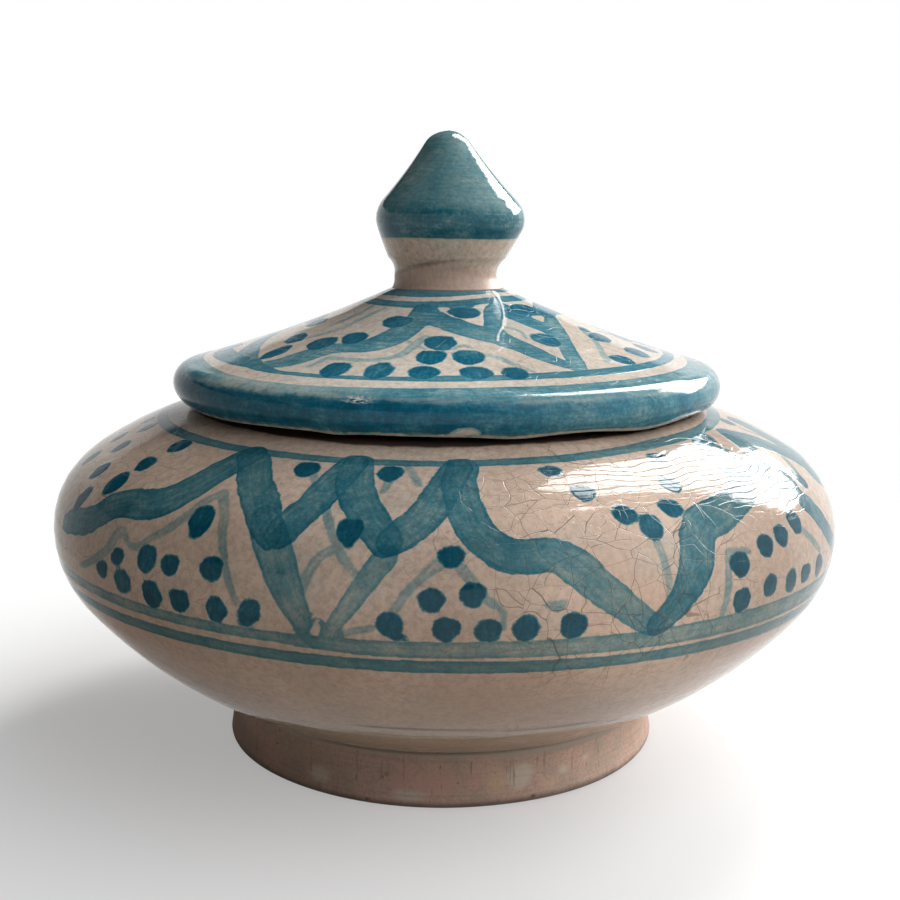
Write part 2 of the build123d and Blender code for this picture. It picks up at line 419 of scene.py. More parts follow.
# The thin outlines inside each triangle and the lattice
outlines = [
    [(-31.6, 21.3, 1.8), (-33.2, 18.6, 2.2), (-34.4, 15, 2.2), (-36, 12.2, 2), (-38.5, 9.2, 1.7),
     (-41.3, 6.6, 1.4), (-43, 7.2, 1.4), (-44.6, 8.8, 1.4)],
    [(-31.7, 21.3, 2), (-30.2, 18.8, 2.2), (-28.8, 15.5, 2.2), (-27.9, 12, 1.9), (-26.9, 8.5, 1.6),
     (-25.6, 4, 1.5), (-24.2, 0, 1.4), (-22.5, -4, 1.4)],
    [(-44.4, 9.3, 1), (-45.6, 8, 2.6), (-46.5, 5.2, 2.6), (-48.5, 2.8, 1.8), (-51.3, 0.6, 1.5),
     (-54.5, -1.1, 1)],
    [(-21.8, 33.6, 1.2), (-19.7, 28.6, 1.5), (-17.3, 24.6, 1.6), (-15, 18.4, 1.7), (-12.7, 12.2, 1.6),
     (-11, 8.8, 1.6), (-9, 5.6, 1.4)],
    [(-10.4, 15.2, 1.5), (-12.6, 12.4, 1.7), (-14.3, 10.4, 1.8), (-15.4, 8, 1.9), (-15.9, 5.6, 1.9),
     (-16.6, 2.2, 1.4)],
    [(-6, 33.6, 1.3), (-4.9, 31, 1.5), (-3.7, 27.8, 1.4)],
    [(-8.2, 28.8, 1.6), (-8.6, 25.4, 1.4)],
    [(-0.6, 9.8, 2.4), (-2.4, 7.6, 1.8), (-4.4, 4.2, 1.6), (-5.6, 1.6, 1.5)],
    [(-8, -1.8, 1.2), (-10.5, -2.8, 1.3), (-12, -3.6, 1.1)],
    [(1.4, 9.8, 1.8), (2.6, 7.6, 2), (4.6, 3.6, 1.6), (6.4, 1.6, 1.3), (6.5, -1.6, 1.2)],
    [(11.4, 2.4, 1.2), (12.6, 2, 2), (13.6, 2.8, 1.2)],
]
outlines = outlines + loops + [thin_strokes[1]]
right_outlines = [
    [(26.2, 12, 1.6), (26.6, 8, 1.5), (26.8, 3, 1.5), (26.6, -1.4, 1.4)],
    [(40.4, 7.2, 1.2), (38, 8, 1.3), (36.4, 7.8, 1.5), (36, 4.6, 1.7), (35.7, 1, 1.7),
     (35.1, -3.6, 1.6)],
    [(53.6, 8.6, 1.2), (55.2, 6.4, 1.7), (57.2, 4, 1.6), (58.8, 2.2, 1.4)],
    [(69.6, 22.2, 1.6), (67.8, 20.2, 1.6), (66, 17.8, 1.6)],
    [(53.8, 31, 1.2), (56.5, 26, 1.4), (58.4, 22, 1.2)],
]

# The dabs of a full brush: angle, height, width, height, lean
dabs = [
    (-50.9, 31.4, 5.6, 5.2, 10), (-52.4, 24, 5.5, 4.7, 0), (-53.7, 17.3, 6, 6.6, -20),
    (-62.5, 17.8, 5, 5, 0), (-59.7, 11.2, 4.2, 6.4, -25), (-72, 31.5, 4.6, 4.6, 0),
    (-68, 24.5, 4.8, 4.8, 0), (-44.4, 3.8, 4.1, 3.3, 15), (-47.7, 0.4, 4.2, 3.3, 15),
    (-43.1, -0.5, 5.3, 4.8, -20), (-38.6, 5.1, 5.2, 5.3, 0), (-37.4, -1.5, 5.2, 5.3, -10),
    (-32, 14, 5.2, 6.8, 8), (-34.5, 5, 4.3, 3.9, 10), (-28.2, 5.7, 5.1, 4.7, 10),
    (-32.7, -1.4, 4.9, 4.5, 0), (-27.2, -1.7, 4.6, 4.9, -10), (-22.9, -1.3, 4, 5.8, -40),
    (-21.6, 30.7, 4.8, 5, -10), (-11.6, 15.2, 4.7, 5.8, 0), (-8.4, 31, 5, 4.9, 0),
    (0.7, 11.1, 4.4, 4, 0), (-1.5, 3.4, 4.5, 4, 0), (3.1, 4.4, 4.6, 4.2, 0),
    (-6.1, -1.1, 4.8, 4.4, -20), (-5.6, -2.9, 4.2, 1.8, -25), (0.2, -1.8, 4.7, 4.6, 0),
    (4.9, -2, 4.7, 4.3, 0), (9.1, -1.8, 4.7, 4.7, 0), (14.6, -1.7, 4.9, 4.9, -15),
    (16.2, 31.6, 4.4, 3.4, 0), (19.3, 24.6, 4.6, 4.4, 0), (23.4, 18.3, 4.7, 4.8, 0),
]
right_dabs = [
    (26.3, 15, 4.8, 5.6, -15), (30.8, 18.5, 5, 4.6, -10), (34, 24.6, 4.8, 4.6, 0),
    (37, 32.6, 4.6, 4.2, 0), (38.2, 5.3, 5.4, 4.8, -5), (38.3, -1.7, 4.7, 5, 0),
    (43.9, -0.4, 4.4, 4.4, 0), (43.8, 7.4, 5.2, 4.3, -10), (48, 8.4, 5, 4.2, 0), (52.8, 9.8, 5.1, 5, 0),
    (49.1, -1.1, 4.3, 4.8, 10), (53.4, -0.9, 4.9, 3.8, 0), (58.6, -1.1, 5, 4.5, -20),
    (64.4, 16.6, 5.2, 4.8, 0), (55.7, 35.9, 4.4, 4.6, 0), (75.6, 36.5, 4.5, 3.8, 0),
    (77.9, 16.5, 4.8, 3.4, 0),
]

# The back repeats the front's lattice and triangles, a quarter of the way round each time
shake = np.random.default_rng(7)
first_layer = first_strokes + right_first
second_layer = second_strokes + right_second
outline_layer = outlines + right_outlines
dab_layer = dabs + right_dabs
thin_layer = list(thin_strokes)
for turn, keep_from in ((81, -8), (172, -64), (264, -64)):
    first_layer = first_layer + shaken(first_strokes, turn, keep_from, shake)
    second_layer = second_layer + shaken(second_strokes, turn, keep_from, shake)
    outline_layer = outline_layer + shaken(outlines, turn, keep_from, shake)
    thin_layer = thin_layer + shaken(thin_strokes, turn, keep_from, shake)
    dab_layer = dab_layer + shaken_dabs(dabs, turn, max(keep_from, -56), shake)
brush(bowl, "first_brush", bowl_places, first_layer)
brush(bowl, "second_brush", bowl_places, second_layer)
brush(bowl, "thin_brush", bowl_places, thin_layer, rings=[pale_ring])
brush(bowl, "outline_brush", bowl_places, outline_layer)
brush(bowl, "ring_brush", bowl_places, rings=[upper_ring, lower_ring])
brush(bowl, "dab_brush", bowl_places, dabs=dab_layer)

# A turning step low on the underside, and painted shade round the lip: the lip and the shoulder
# under the lid's rim are painted almost black over a clay colour, for the shade in the gap there
step_front = [
    (-34, -40, 0.2), (-20, -34, 0.4), (-10, -33.2, 1.2), (0, -33.5, 1.8), (10, -34.3, 1.8),
    (20, -34.9, 1.8), (25, -35.7, 1.8), (30, -37.5, 1.9), (35, -40.1, 1.8), (40, -42.5, 1.8),
    (48, -48, 1.7),
]
step_ring = [(-180, -54, 0.4), (-60, -54, 0.2)] + step_front + [
    (58, -56, 1.6), (80, -57.5, 0.8), (140, -56, 0.5),
]
lip_painted_shade = [
    (-180, 55, 26.4), (-60, 55.5, 25.8), (-45, 55, 25.6), (-30, 54.6, 25.8), (-15, 54, 26.4),
    (0, 54.2, 26.2), (15, 55, 25.6), (30, 55.4, 25.4), (45, 56, 25.4), (60, 56.6, 25.4),
    (120, 55.6, 25.8),
]
slip_below_step = 0.8
slip_bottom = -58.2
slip_front = []
for angle, height, wide in step_front:
    slip_top = height - slip_below_step
    slip_front.append((angle, (slip_top + slip_bottom) / 2, slip_top - slip_bottom))
slip_band = [(-180, -57.5, 2)] + slip_front + [(58, -57.5, 3), (140, -58, 2)]
brush(bowl, "turning_step", bowl_places, rings=[step_ring])
brush(bowl, "slip_band", bowl_places, rings=[slip_band])
brush(bowl, "lip_painted_shade", bowl_places, rings=[lip_painted_shade])
rippled = [
    (9, 25), (12, 29), (18, 33), (26, 38), (38, 41), (50, 39), (58, 31), (63, 18), (60, 10), (52, 12),
    (44, 15), (34, 19), (24, 22), (14, 23.5),
]
brush(bowl, "rippled_glaze", bowl_places, areas=[rippled])


class Nodes:
    """The shader nodes of one material or of the sky, joined as they are made."""

    def __init__(self, owner):
        owner.use_nodes = True
        self.owner = owner
        self.tree = owner.node_tree
        self.shader = self.tree.nodes.get("Principled BSDF")

    def feed(self, socket, value):
        """Join a socket to the one that it takes its value from, or set it to a plain value."""
        if isinstance(value, bpy.types.NodeSocket):
            self.tree.links.new(value, socket)
        else:
            socket.default_value = value

    def add(self, kind, inputs=(), **settings):
        """A node of this kind, with its inputs given by name, as values or as sockets."""
        node = self.tree.nodes.new("ShaderNode" + kind)
        for name, value in settings.items():
            setattr(node, name, value)
        for name, value in dict(inputs).items():
            self.feed(node.inputs[name], value)
        return node

    def sum(self, operation, *values):
        """One arithmetic step on numbers or sockets."""
        return self.add("Math", enumerate(values), operation=operation).outputs[0]

    def times(self, first, second):
        """Both multiplied."""
        return self.sum("MULTIPLY", first, second)

    def plus(self, first, second):
        """Both added."""
        return self.sum("ADD", first, second)

    def scaled(self, value, factor, offset):
        """A value times a factor, plus an offset."""
        return self.sum("MULTIPLY_ADD", value, factor, offset)

    def most(self, first, second):
        """The larger of the two."""
        return self.sum("MAXIMUM", first, second)

    def overlaid(self, kind, first, second, doubled):
        """Two coats of colour, the larger or both of them, and this much more where they overlap."""
        both = self.sum("MINIMUM", first, second)
        return self.scaled(both, doubled, self.sum(kind, first, second))

    def part(self, vector, axis):
        """A place's distance along x, y or z, which are 0, 1 and 2."""
        return self.add("SeparateXYZ", {0: vector}).outputs[axis]

    def stored(self, name):
        """What the mesh keeps at each corner under this name."""
        return self.add("Attribute", attribute_name=name).outputs["Vector"]

    def away(self, spot, place):
        """How far a point lies from a place."""
        return self.add("VectorMath", {0: spot, 1: place}, operation="DISTANCE").outputs["Value"]

    def place(self):
        """Where a point lies on the piece at rest, in millimetres."""
        spot = self.add("TexCoord").outputs["Object"]
        return self.add("VectorMath", {0: spot, 1: (1 / MM,) * 3}, operation="MULTIPLY").outputs[0]

    def stretched(self, spot, factors):
        """The same place with each axis drawn out or squeezed."""
        return self.add("VectorMath", {0: spot, 1: factors}, operation="MULTIPLY").outputs[0]

    def cloud(self, spot, scale, detail=3.0, roughness=0.5):
        """Smooth noise from 0 to 1, with scale in features per millimetre."""
        inputs = {"Vector": spot, "Scale": scale, "Detail": detail, "Roughness": roughness}
        return self.add("TexNoise", inputs).outputs["Fac"]

    def between(self, value, low, high, to_low=0.0, to_high=1.0):
        """A smooth change from to_low to to_high as value goes from low to high."""
        inputs = {"Value": value, "From Min": low, "From Max": high, "To Min": to_low, "To Max": to_high}
        return self.add("MapRange", inputs, interpolation_type="SMOOTHSTEP").outputs["Result"]

    def blend(self, amount, first, second, kind="MIX"):
        """Two colours mixed by an amount."""
        inputs = {0: amount, 6: first, 7: second}
        return self.add("Mix", inputs, data_type="RGBA", blend_type=kind).outputs[2]

    def over(self, colour, mask, share, shade):
        """A colour with a shade laid over it where the mask is 1, as strongly as its share."""
        return self.blend(self.times(mask, share), colour, shade)

    def tinted(self, colour, tint):
        """A colour multiplied by a tint."""
        return self.blend(1.0, colour, tint, "MULTIPLY")

    def set(self, name, value):
        """Set or join one of the shader's own sockets."""
        self.feed(self.shader.inputs[name], value)

    def bump(self, height, strength, distance):
        """Let this height show in the way that the light falls on the surface."""
        relief = self.add("Bump", {"Height": height, "Strength": strength, "Distance": distance})
        self.set("Normal", relief.outputs["Normal"])


def hand_marks(look, spot):
    """What the hand and the fire leave in every layer: wavering edges, a thick and thin wash, grain."""
    wobble = look.cloud(spot, 0.45, 3.0, 0.55)
    wash = look.cloud(spot, 0.14, 3.0, 0.6)
    grain = look.cloud(spot, 1.5, 3.0, 0.65)
    return wobble, wash, grain


def painted_layer(look, layer, marks, strength, pooling, streaks, ragged=0.3, soft=0.15):
    """The colour that one brush layer leaves: none outside its marks, and inside them more at
    the edges, where it pooled, and in streaks along the way that the brush went."""
    wobble, wash, grain = marks
    parts = look.add("SeparateXYZ", {0: look.stored(layer)}).outputs
    edge = look.plus(parts[0], look.scaled(wobble, ragged * 2, -ragged))
    inside = look.between(edge, soft, -soft)
    pooled = look.between(edge, -1.0, -0.1, 0.0, pooling)
    lane = look.add("CombineXYZ", {0: parts[1], 1: look.times(parts[2], 0.12), 2: 0.0}).outputs[0]
    streak = look.scaled(look.cloud(lane, 1.3, 3.0, 0.6), streaks * 3, -streaks * 1.5)
    uneven = look.scaled(wash, streaks * 4.4, -streaks * 2.2)
    uneven = look.scaled(grain, streaks * 2.6, look.sum("SUBTRACT", uneven, streaks * 1.3))
    amount = look.plus(look.plus(streak, uneven), look.plus(pooled, strength))
    return look.times(inside, look.most(amount, 0.04))


def stained(look, ground, ink):
    """The glaze seen through this much blue-green, which takes out red first and blue last."""
    red, green, blue = (0.13, 0.0), (0.345, 0.12), (0.50, 0.21)
    kept = []
    for share, least in (red, green, blue):
        thinned = look.sum("POWER", share, ink)
        kept.append(look.scaled(thinned, 1 - least, least))
    filter_colour = look.add("CombineColor", dict(enumerate(kept))).outputs[0]
    return look.tinted(ground, filter_colour)


def cream_glaze(look, spot, paler=(1.0, 1.0, 1.0, 1)):
    """The cream glaze over a pink body: warmer where it is thin, greyer where it is thick."""
    cream = (0.58, 0.46, 0.37, 1)
    pink_cream = (0.47, 0.345, 0.265, 1)
    grey_cream = (0.43, 0.375, 0.31, 1)
    dust = (0.32, 0.24, 0.185, 1)
    speck = (0.20, 0.145, 0.115, 1)
    warm = look.between(look.cloud(spot, 0.03, 3.0), 0.35, 0.68)
    ground = look.blend(warm, cream, pink_cream)
    grey = look.between(look.cloud(spot, 0.055, 4.0, 0.6), 0.5, 0.75)
    ground = look.blend(grey, ground, grey_cream)
    fine = look.between(look.cloud(spot, 0.7, 5.0, 0.72), 0.36, 0.68, 0.0, 0.6)
    ground = look.blend(fine, ground, dust)
    specks = look.between(look.cloud(spot, 1.3, 2.0, 0.6), 0.64, 0.74, 0.0, 0.45)
    ground = look.blend(specks, ground, speck)
    return look.tinted(ground, paler)


def crazing(look, spot, cell, width, seen):
    """The glaze's network of fine cracks, 1 in a crack, drawn on warped cells this wide in mm."""
    warp = look.add("TexNoise", {"Vector": spot, "Scale": 0.09, "Detail": 2.0}).outputs["Color"]
    shifted = look.add("VectorMath", {0: warp, 1: (5.0, 5.0, 5.0), 2: spot}, operation="MULTIPLY_ADD")
    inputs = {"Vector": shifted.outputs[0], "Scale": 1 / cell}
    cells = look.add("TexVoronoi", inputs, feature="DISTANCE_TO_EDGE")
    line = look.between(cells.outputs["Distance"], width / cell, width / cell * 0.3)
    return look.times(line, seen)


def glaze(look, spot, colour, crack, relief, ridges, grooved=0.0):
    """Finish a glazed surface: its colour, its gloss, and the ripple of glaze over thrown ridges."""
    look.set("Base Color", colour)
    look.set("Roughness", look.between(look.cloud(spot, 0.35, 3.0), 0.3, 0.75, 0.05, 0.13))
    look.set("IOR", 1.33)
    across = look.part(spot, 0)
    look.set("Specular IOR Level", look.between(across, -62, 5, 0.05, 0.5))
    rows = look.stored("wall_place")
    along = look.part(rows, 2)
    bent = look.times(look.cloud(look.stretched(rows, (0.06, 0.06, 0.09)), 1.0, 2.0, 0.5), 5.0)
    row = look.sum("FRACT", look.scaled(along, 0.6, bent))
    from_groove = look.sum("ABSOLUTE", look.sum("SUBTRACT", row, 0.5))
    groove = look.between(from_groove, 0.0, 0.1)
    fine = look.cloud(look.stretched(rows, (0.045, 0.045, 0.7)), 1.0, 1.0, 0.4)
    wide = look.cloud(look.stretched(rows, (0.03, 0.03, 0.28)), 1.0, 1.0, 0.4)
    height = look.scaled(fine, ridges * 0.35, look.times(wide, ridges * 0.5))
    height = look.scaled(groove, grooved, height)
    height = look.scaled(look.cloud(spot, 0.22, 2.0), 0.05 + 0.17 * ridges, height)
    height = look.scaled(crack, -0.1, height)
    height = look.scaled(relief, 0.02, height)
    look.bump(height, 0.5, 0.001)


def bare_clay(look, spot):
    """Fired clay without glaze: pinkish brown and cloudy, with fine grit."""
    pink_clay = (0.56, 0.37, 0.295, 1)
    brown_clay = (0.44, 0.335, 0.26, 1)
    grit_brown = (0.26, 0.18, 0.14, 1)
    cloudy = look.between(look.cloud(spot, 0.09, 4.0, 0.65), 0.36, 0.64)
    ground = look.blend(cloudy, pink_clay, brown_clay)
    grit = look.between(look.cloud(spot, 1.6, 3.0, 0.7), 0.4, 0.7, 0.0, 0.4)
    return look.blend(grit, ground, grit_brown)


def layer_edge(look, layer, drift, soft):
    """How much of a layer lies here, 0 or 1, with its edge moved by drift and this soft."""
    edge = look.part(look.stored(layer), 0)
    return look.between(look.plus(edge, drift), soft, -soft)


# The bowl's glaze, crazed most where it is thickest, on the front to the right, where its cream is
# also painted paler as painted light from the window
untinted = (1, 1, 1, 1)
browner_below = (0.93, 0.85, 0.78, 1)
painted_window_light = (1.42, 1.4, 1.4, 1)
crack_brown = (0.07, 0.05, 0.04, 1)
pale_slip = (0.44, 0.385, 0.29, 1)
step_brown = (0.12, 0.085, 0.06, 1)
# near-black, for painted shade in the gap between lid and bowl
gap_painted_shade = (0.03, 0.024, 0.02, 1)
look = Nodes(bpy.data.materials.new("crazed_cream_glaze"))
spot = look.place()
high = look.part(spot, 2)
ground = look.blend(look.between(high, 62, 36), untinted, browner_below)
ground = look.tinted(cream_glaze(look, spot), ground)
# Round the front right of the shoulder the glaze crazes most, and its cream is painted paler there as
# painted light from the window
thick = look.away(spot, (32.0, -79.0, 64.0))
paler = look.blend(look.between(thick, 38, 8), untinted, painted_window_light)
ground = look.tinted(ground, paler)
left_side = look.away(spot, (-72.0, -40.0, 72.0))
old_cracks = look.between(look.cloud(spot, 0.02, 2.0), 0.45, 0.62, 0.04, 0.35)
old_cracks = look.most(old_cracks, look.between(thick, 42, 16, 0.0, 0.85))
old_cracks = look.most(old_cracks, look.between(left_side, 40, 18, 0.0, 0.6))
tall_cells = look.stretched(spot, (1.0, 1.0, 0.55))
wide_cells = look.stretched(spot, (0.45, 0.45, 1.2))
crack = crazing(look, tall_cells, 5.4, 0.058, old_cracks)
crack = look.most(crack, crazing(look, wide_cells, 5.4, 0.052, look.times(old_cracks, 0.75)))
dense = look.between(look.cloud(spot, 0.045, 3.0), 0.5, 0.62, 0.0, 0.5)
dense = look.times(dense, look.between(thick, 40, 14))
crack = look.most(crack, crazing(look, spot, 2.8, 0.042, dense))
marks = hand_marks(look, spot)
first = painted_layer(look, "first_brush", marks, strength=1.08, pooling=0.35, streaks=0.42, ragged=0.5)
second = painted_layer(look, "second_brush", marks, strength=1.06, pooling=0.35, streaks=0.42, ragged=0.5)
weak_place = look.away(spot, (30, -84, 55))
second = look.times(second, look.between(weak_place, 5, 18, 0.68, 1.0))
ring = painted_layer(look, "ring_brush", marks, strength=0.9, pooling=0.2, streaks=0.24)
ink = look.overlaid("MAXIMUM", first, second, 0.16)
ink = look.overlaid("MAXIMUM", ring, ink, 0.2)
thin = painted_layer(look, "thin_brush", marks, strength=0.56, pooling=0.25, streaks=0.24)
ink = look.overlaid("ADD", thin, ink, -0.6)
line = painted_layer(look, "outline_brush", marks, strength=0.34, pooling=0.1, streaks=0.2,
                     ragged=0.4, soft=0.3)
ink = look.overlaid("ADD", line, ink, -0.6)
dabbed = painted_layer(look, "dab_brush", marks, strength=2.4, pooling=0.3, streaks=0.8,
                       ragged=0.7, soft=0.35)
ink = look.most(ink, dabbed)
colour = stained(look, ground, ink)
colour = look.over(colour, crack, 0.85, crack_brown)
waver = look.scaled(look.cloud(spot, 0.3, 3.0), 1.2, -0.6)
stepped = layer_edge(look, "turning_step", look.times(waver, 0.3), 0.5)
slipped = layer_edge(look, "slip_band", look.times(waver, 0.5), 1.0)
colour = look.over(colour, slipped, 0.35, pale_slip)
colour = look.over(colour, stepped, 0.9, step_brown)
# Painted shade: round the lip the colour goes almost black, as the shade under the lid's rim
bare = layer_edge(look, "lip_painted_shade", waver, 0.5)
shaded_clay = look.blend(0.9, bare_clay(look, spot), gap_painted_shade)
colour = look.blend(bare, colour, shaded_clay)
from_ripples = look.part(look.stored("rippled_glaze"), 0)
glaze(look, spot, colour, crack, ink, 0.26, look.between(from_ripples, 1.0, -3.0, 0.0, 0.22))
bowl.data.materials.append(look.owner)
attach(bowl, "jar")
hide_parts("bowl")

# Foot ring. The same red clay, thrown as a ring, luted under the bowl and turned to a slight
# waist. The glaze stops a few millimetres below the crease; the rest is bare, scratched clay.
foot_base_radius = 51.8
foot_waist_depth = 0.5
foot_base_width = 8.0
foot_top_width = 9.5
foot_base_round = 1.0
foot_seam_round = 0.5
steps_round_foot = 600

base_inner = foot_base_radius - foot_base_width + 0j
base_outer = foot_base_radius + 0j
foot_top_inner = foot_top_radius - foot_top_width + 1j * foot_height
waist = sagged(base_outer, foot_edge, foot_waist_depth)
clear_of_base = np.abs(waist - base_outer) > foot_base_round
clear_of_seam = np.abs(waist - foot_edge) > foot_seam_round
foot_outline = joined(
    rounded(base_inner, foot_top_inner, base_outer, foot_base_round),
    rounded(base_outer, base_inner, waist[4], foot_base_round),
    evenly(waist[clear_of_base & clear_of_seam], 0.55),
    rounded(foot_edge, waist[-5], foot_top_inner, foot_seam_round),
    straight(foot_edge - foot_seam_round, foot_top_inner, 3.0),
    straight(foot_top_inner, base_inner + 1.5j, 2.0)[1:],
)


def foot_settles(radius, height, angle):
    """The turned foot is a little uneven, and its ground edge is worn."""
    turn = np.radians(angle)
    uneven = 0.14 + 0.07 * np.sin(3 * turn + 1.2) + 0.06 * np.sin(7 * turn + height * 0.5)
    outer = np.clip((radius - 47) / 2, 0, 1)
    aside = 1.2 * np.clip(np.sin(turn), 0, 1)
    return radius - outer * (uneven + aside) * np.clip((foot_height - height) / 2, 0, 1), height


foot_ring = turned("turned_foot", foot_outline, steps_round_foot, foot_settles)
foot_places = rest_places(foot_ring, foot_outline, steps_round_foot, foot_edge)

# How far the glaze ran down, scratches from the turning tool, pits, and pale worn patches
glazed_ring = [
    (-180, 1, 3), (-120, 0.9, 3), (-62, 0.8, 2.6), (-40, 0.6, 2.6), (-20, 0.6, 2.8), (0, 0.6, 2.6),
    (12, 0.4, 3.4), (20, 0.2, 4.2), (32, 0, 4.6), (45, 0.2, 4.2), (62, 0.4, 3.6), (110, 0.6, 3.4),
    (160, 0.8, 3.2),
]
scratches = [
    [(-5.1, -2.6, 0.3), (-5, -6.4, 0.26)],
    [(2.6, -2.4, 0.28), (2.7, -5, 0.24)],
    [(3.9, -2.4, 0.24), (3.8, -4.4, 0.2)],
    [(6.7, -2.2, 0.34), (6.9, -6.2, 0.28)],
    [(23.3, -2.6, 0.34), (23.1, -6.6, 0.26)],
    [(-0.4, -2.6, 0.26), (-0.9, -3.8, 0.3), (-0.6, -4.8, 0.24)],
    [(-13.6, -4.9, 0.26), (-14.6, -6.4, 0.24)],
    [(-13.4, -4.9, 0.26), (-12.6, -6.6, 0.24)],
    [(-20.6, -5, 0.26), (-21, -7.2, 0.24)],
    [(17, -4.6, 0.26), (17.6, -6.4, 0.22)],
    [(-27.5, -4.6, 0.24), (-27.2, -7.4, 0.22)],
    [(38, -4.4, 0.26), (38.4, -7.6, 0.24)],
    [(150, -4.6, 0.3), (150.4, -8.4, 0.26)],
    [(-140, -4.6, 0.3), (-139, -7.8, 0.26)],
    [(96, -4.8, 0.28), (96.5, -8.6, 0.24)],
]
pits = [
    (-44.5, -1.3, 0.9, 0.7, 0), (-45.5, -4.6, 1.1, 0.5, 20), (-18, -11, 1.4, 0.7, 0),
    (22, -10.9, 1.3, 0.8, 0), (3.4, -6.6, 0.6, 0.6, 0), (12.5, -4.8, 0.5, 0.5, 0),
    (133, -6, 1.1, 0.8, 0), (-95, -5, 0.9, 0.9, 0),
]
worn = [
    (18.8, -6.2, 6.2, 5, 10), (31, -6.6, 2, 1.6, 0), (-31, -8, 5, 3, 0), (38, -5.6, 1.4, 1.2, 0),
    (-8, -9.6, 6, 2.4, 0), (118, -9, 5, 2.4, 0), (-125, -8, 7, 4, 0), (175, -9, 6, 2.6, 0),
]
ochre_patch = [(12.8, -6.6, 4.2, 5, 15), (27, -9, 3, 2, 0), (-100, -7, 6, 5, 0)]
pink_patch = [(-1.5, -6.6, 11.5, 6, 0), (-9.5, -6, 5, 7, 0), (7, -5.8, 3.4, 5, 0)]
brush(foot_ring, "foot_glaze", foot_places, rings=[glazed_ring])
brush(foot_ring, "scratch_marks", foot_places, scratches, pits)
brush(foot_ring, "worn_patches", foot_places, dabs=worn)
brush(foot_ring, "ochre_patch", foot_places, dabs=ochre_patch)
brush(foot_ring, "pink_patch", foot_places, dabs=pink_patch)

pink = (0.60, 0.33, 0.285, 1)
ochre = (0.62, 0.45, 0.28, 1)
worn_pale = (0.60, 0.52, 0.43, 1)
foot_painted_light = (1.45, 1.48, 1.5, 1)
upright_brown = (0.24, 0.165, 0.13, 1)
turning_brown = (0.27, 0.2, 0.16, 1)
thin_glaze = (0.40, 0.345, 0.275, 1)
scratch_brown = (0.10, 0.07, 0.055, 1)
ground_brown = (0.13, 0.095, 0.075, 1)
crease_brown = (0.15, 0.11, 0.09, 1)
look = Nodes(bpy.data.materials.new("bare_foot_clay"))
spot = look.place()
waver = look.scaled(look.cloud(spot, 0.35, 3.0), 1.4, -0.7)
glazed = layer_edge(look, "foot_glaze", waver, 0.25)
scratched = layer_edge(look, "scratch_marks", look.times(waver, 0.12), 0.16)
patched = layer_edge(look, "worn_patches", waver, 0.8)
lines = look.cloud(look.stretched(spot, (0.9, 0.9, 0.06)), 1.0, 4.0, 0.7)
upright = look.between(lines, 0.6, 0.68, 0.0, 0.5)
turned_lines = look.cloud(look.stretched(spot, (0.05, 0.05, 1.5)), 1.0, 3.0, 0.6)
pinkish = look.times(layer_edge(look, "pink_patch", waver, 1.2), 0.45)
colour = look.blend(pinkish, bare_clay(look, spot), pink)
colour = look.over(colour, layer_edge(look, "ochre_patch", waver, 1.2), 0.5, ochre)
colour = look.over(colour, patched, 0.8, worn_pale)
sides = look.add("SeparateXYZ", {0: spot}).outputs
# Painted light: the clay is painted paler on the front to the right, where the light falls
front_right = look.times(look.between(sides[0], 12, 44), look.between(sides[1], 20, -10))
paler = look.blend(front_right, untinted, foot_painted_light)
colour = look.tinted(colour, paler)
colour = look.blend(upright, colour, upright_brown)
colour = look.blend(look.between(turned_lines, 0.5, 0.8, 0.0, 0.4), colour, turning_brown)
colour = look.over(colour, glazed, 0.8, thin_glaze)
colour = look.over(colour, scratched, 0.8, scratch_brown)
ground_edge = look.between(look.plus(sides[2], waver), 2.2, 0.2, 0.0, 0.75)
colour = look.blend(ground_edge, colour, ground_brown)
crease = look.between(sides[2], foot_height - 0.9, foot_height - 0.3, 0.0, 0.3)
colour = look.blend(crease, colour, crease_brown)
look.set("Base Color", colour)
look.set("Roughness", look.between(glazed, 0.0, 1.0, 0.82, 0.45))
look.set("Specular IOR Level", 0.3)
height = look.scaled(turned_lines, 0.35, look.times(scratched, -0.5))
height = look.scaled(look.cloud(spot, 1.2, 3.0, 0.7), 0.25, height)
look.bump(height, 0.6, 0.0006)
foot_ring.data.materials.append(look.owner)
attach(foot_ring, "jar")
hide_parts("foot_ring")

# Lid. Thrown upside down as a shallow cone with a thick rolled rim that droops outside the lip;
# glazed and painted like the bowl, with a broad blue band round the rim and rings at both ends.
lid_seat = 83.3
seat_radius = 57.6
flange_bore = 44.6
steps_round_lid = 600

knob_seat_edge = 13.0 + 105.3j
knob_seat_middle = 0 + 105.3j
crown_middle = 0 + 98.8j
crown_edge = 12.0 + 98.8j
step_top = 43.0 + 86.3j
hollow_round = 2.0
seat_inner = flange_bore + 1j * lid_seat
seat_outer = seat_radius + 1j * lid_seat
rim_bottom_inner = 58.8 + 80.2j
rim_bottom_outer = 61.0 + 80.2j
rim_widest = 63.1 + 85.3j
crest = 59.0 + 88.7j
cone_sag = 0.9


def arc_through(start, middle, end):
    """Points of the arc from start through middle to end."""
    to_middle, to_end = middle - start, end - start
    cross = 2j * (to_middle.conjugate() * to_end).imag
    centre = start + (abs(to_middle) ** 2 * to_end - abs(to_end) ** 2 * to_middle) / cross
    turn = np.angle((middle - centre) / (start - centre)) + np.angle((end - centre) / (middle - centre))
    return centre + (start - centre) * np.exp(1j * turn * np.linspace(0, 1, 60))


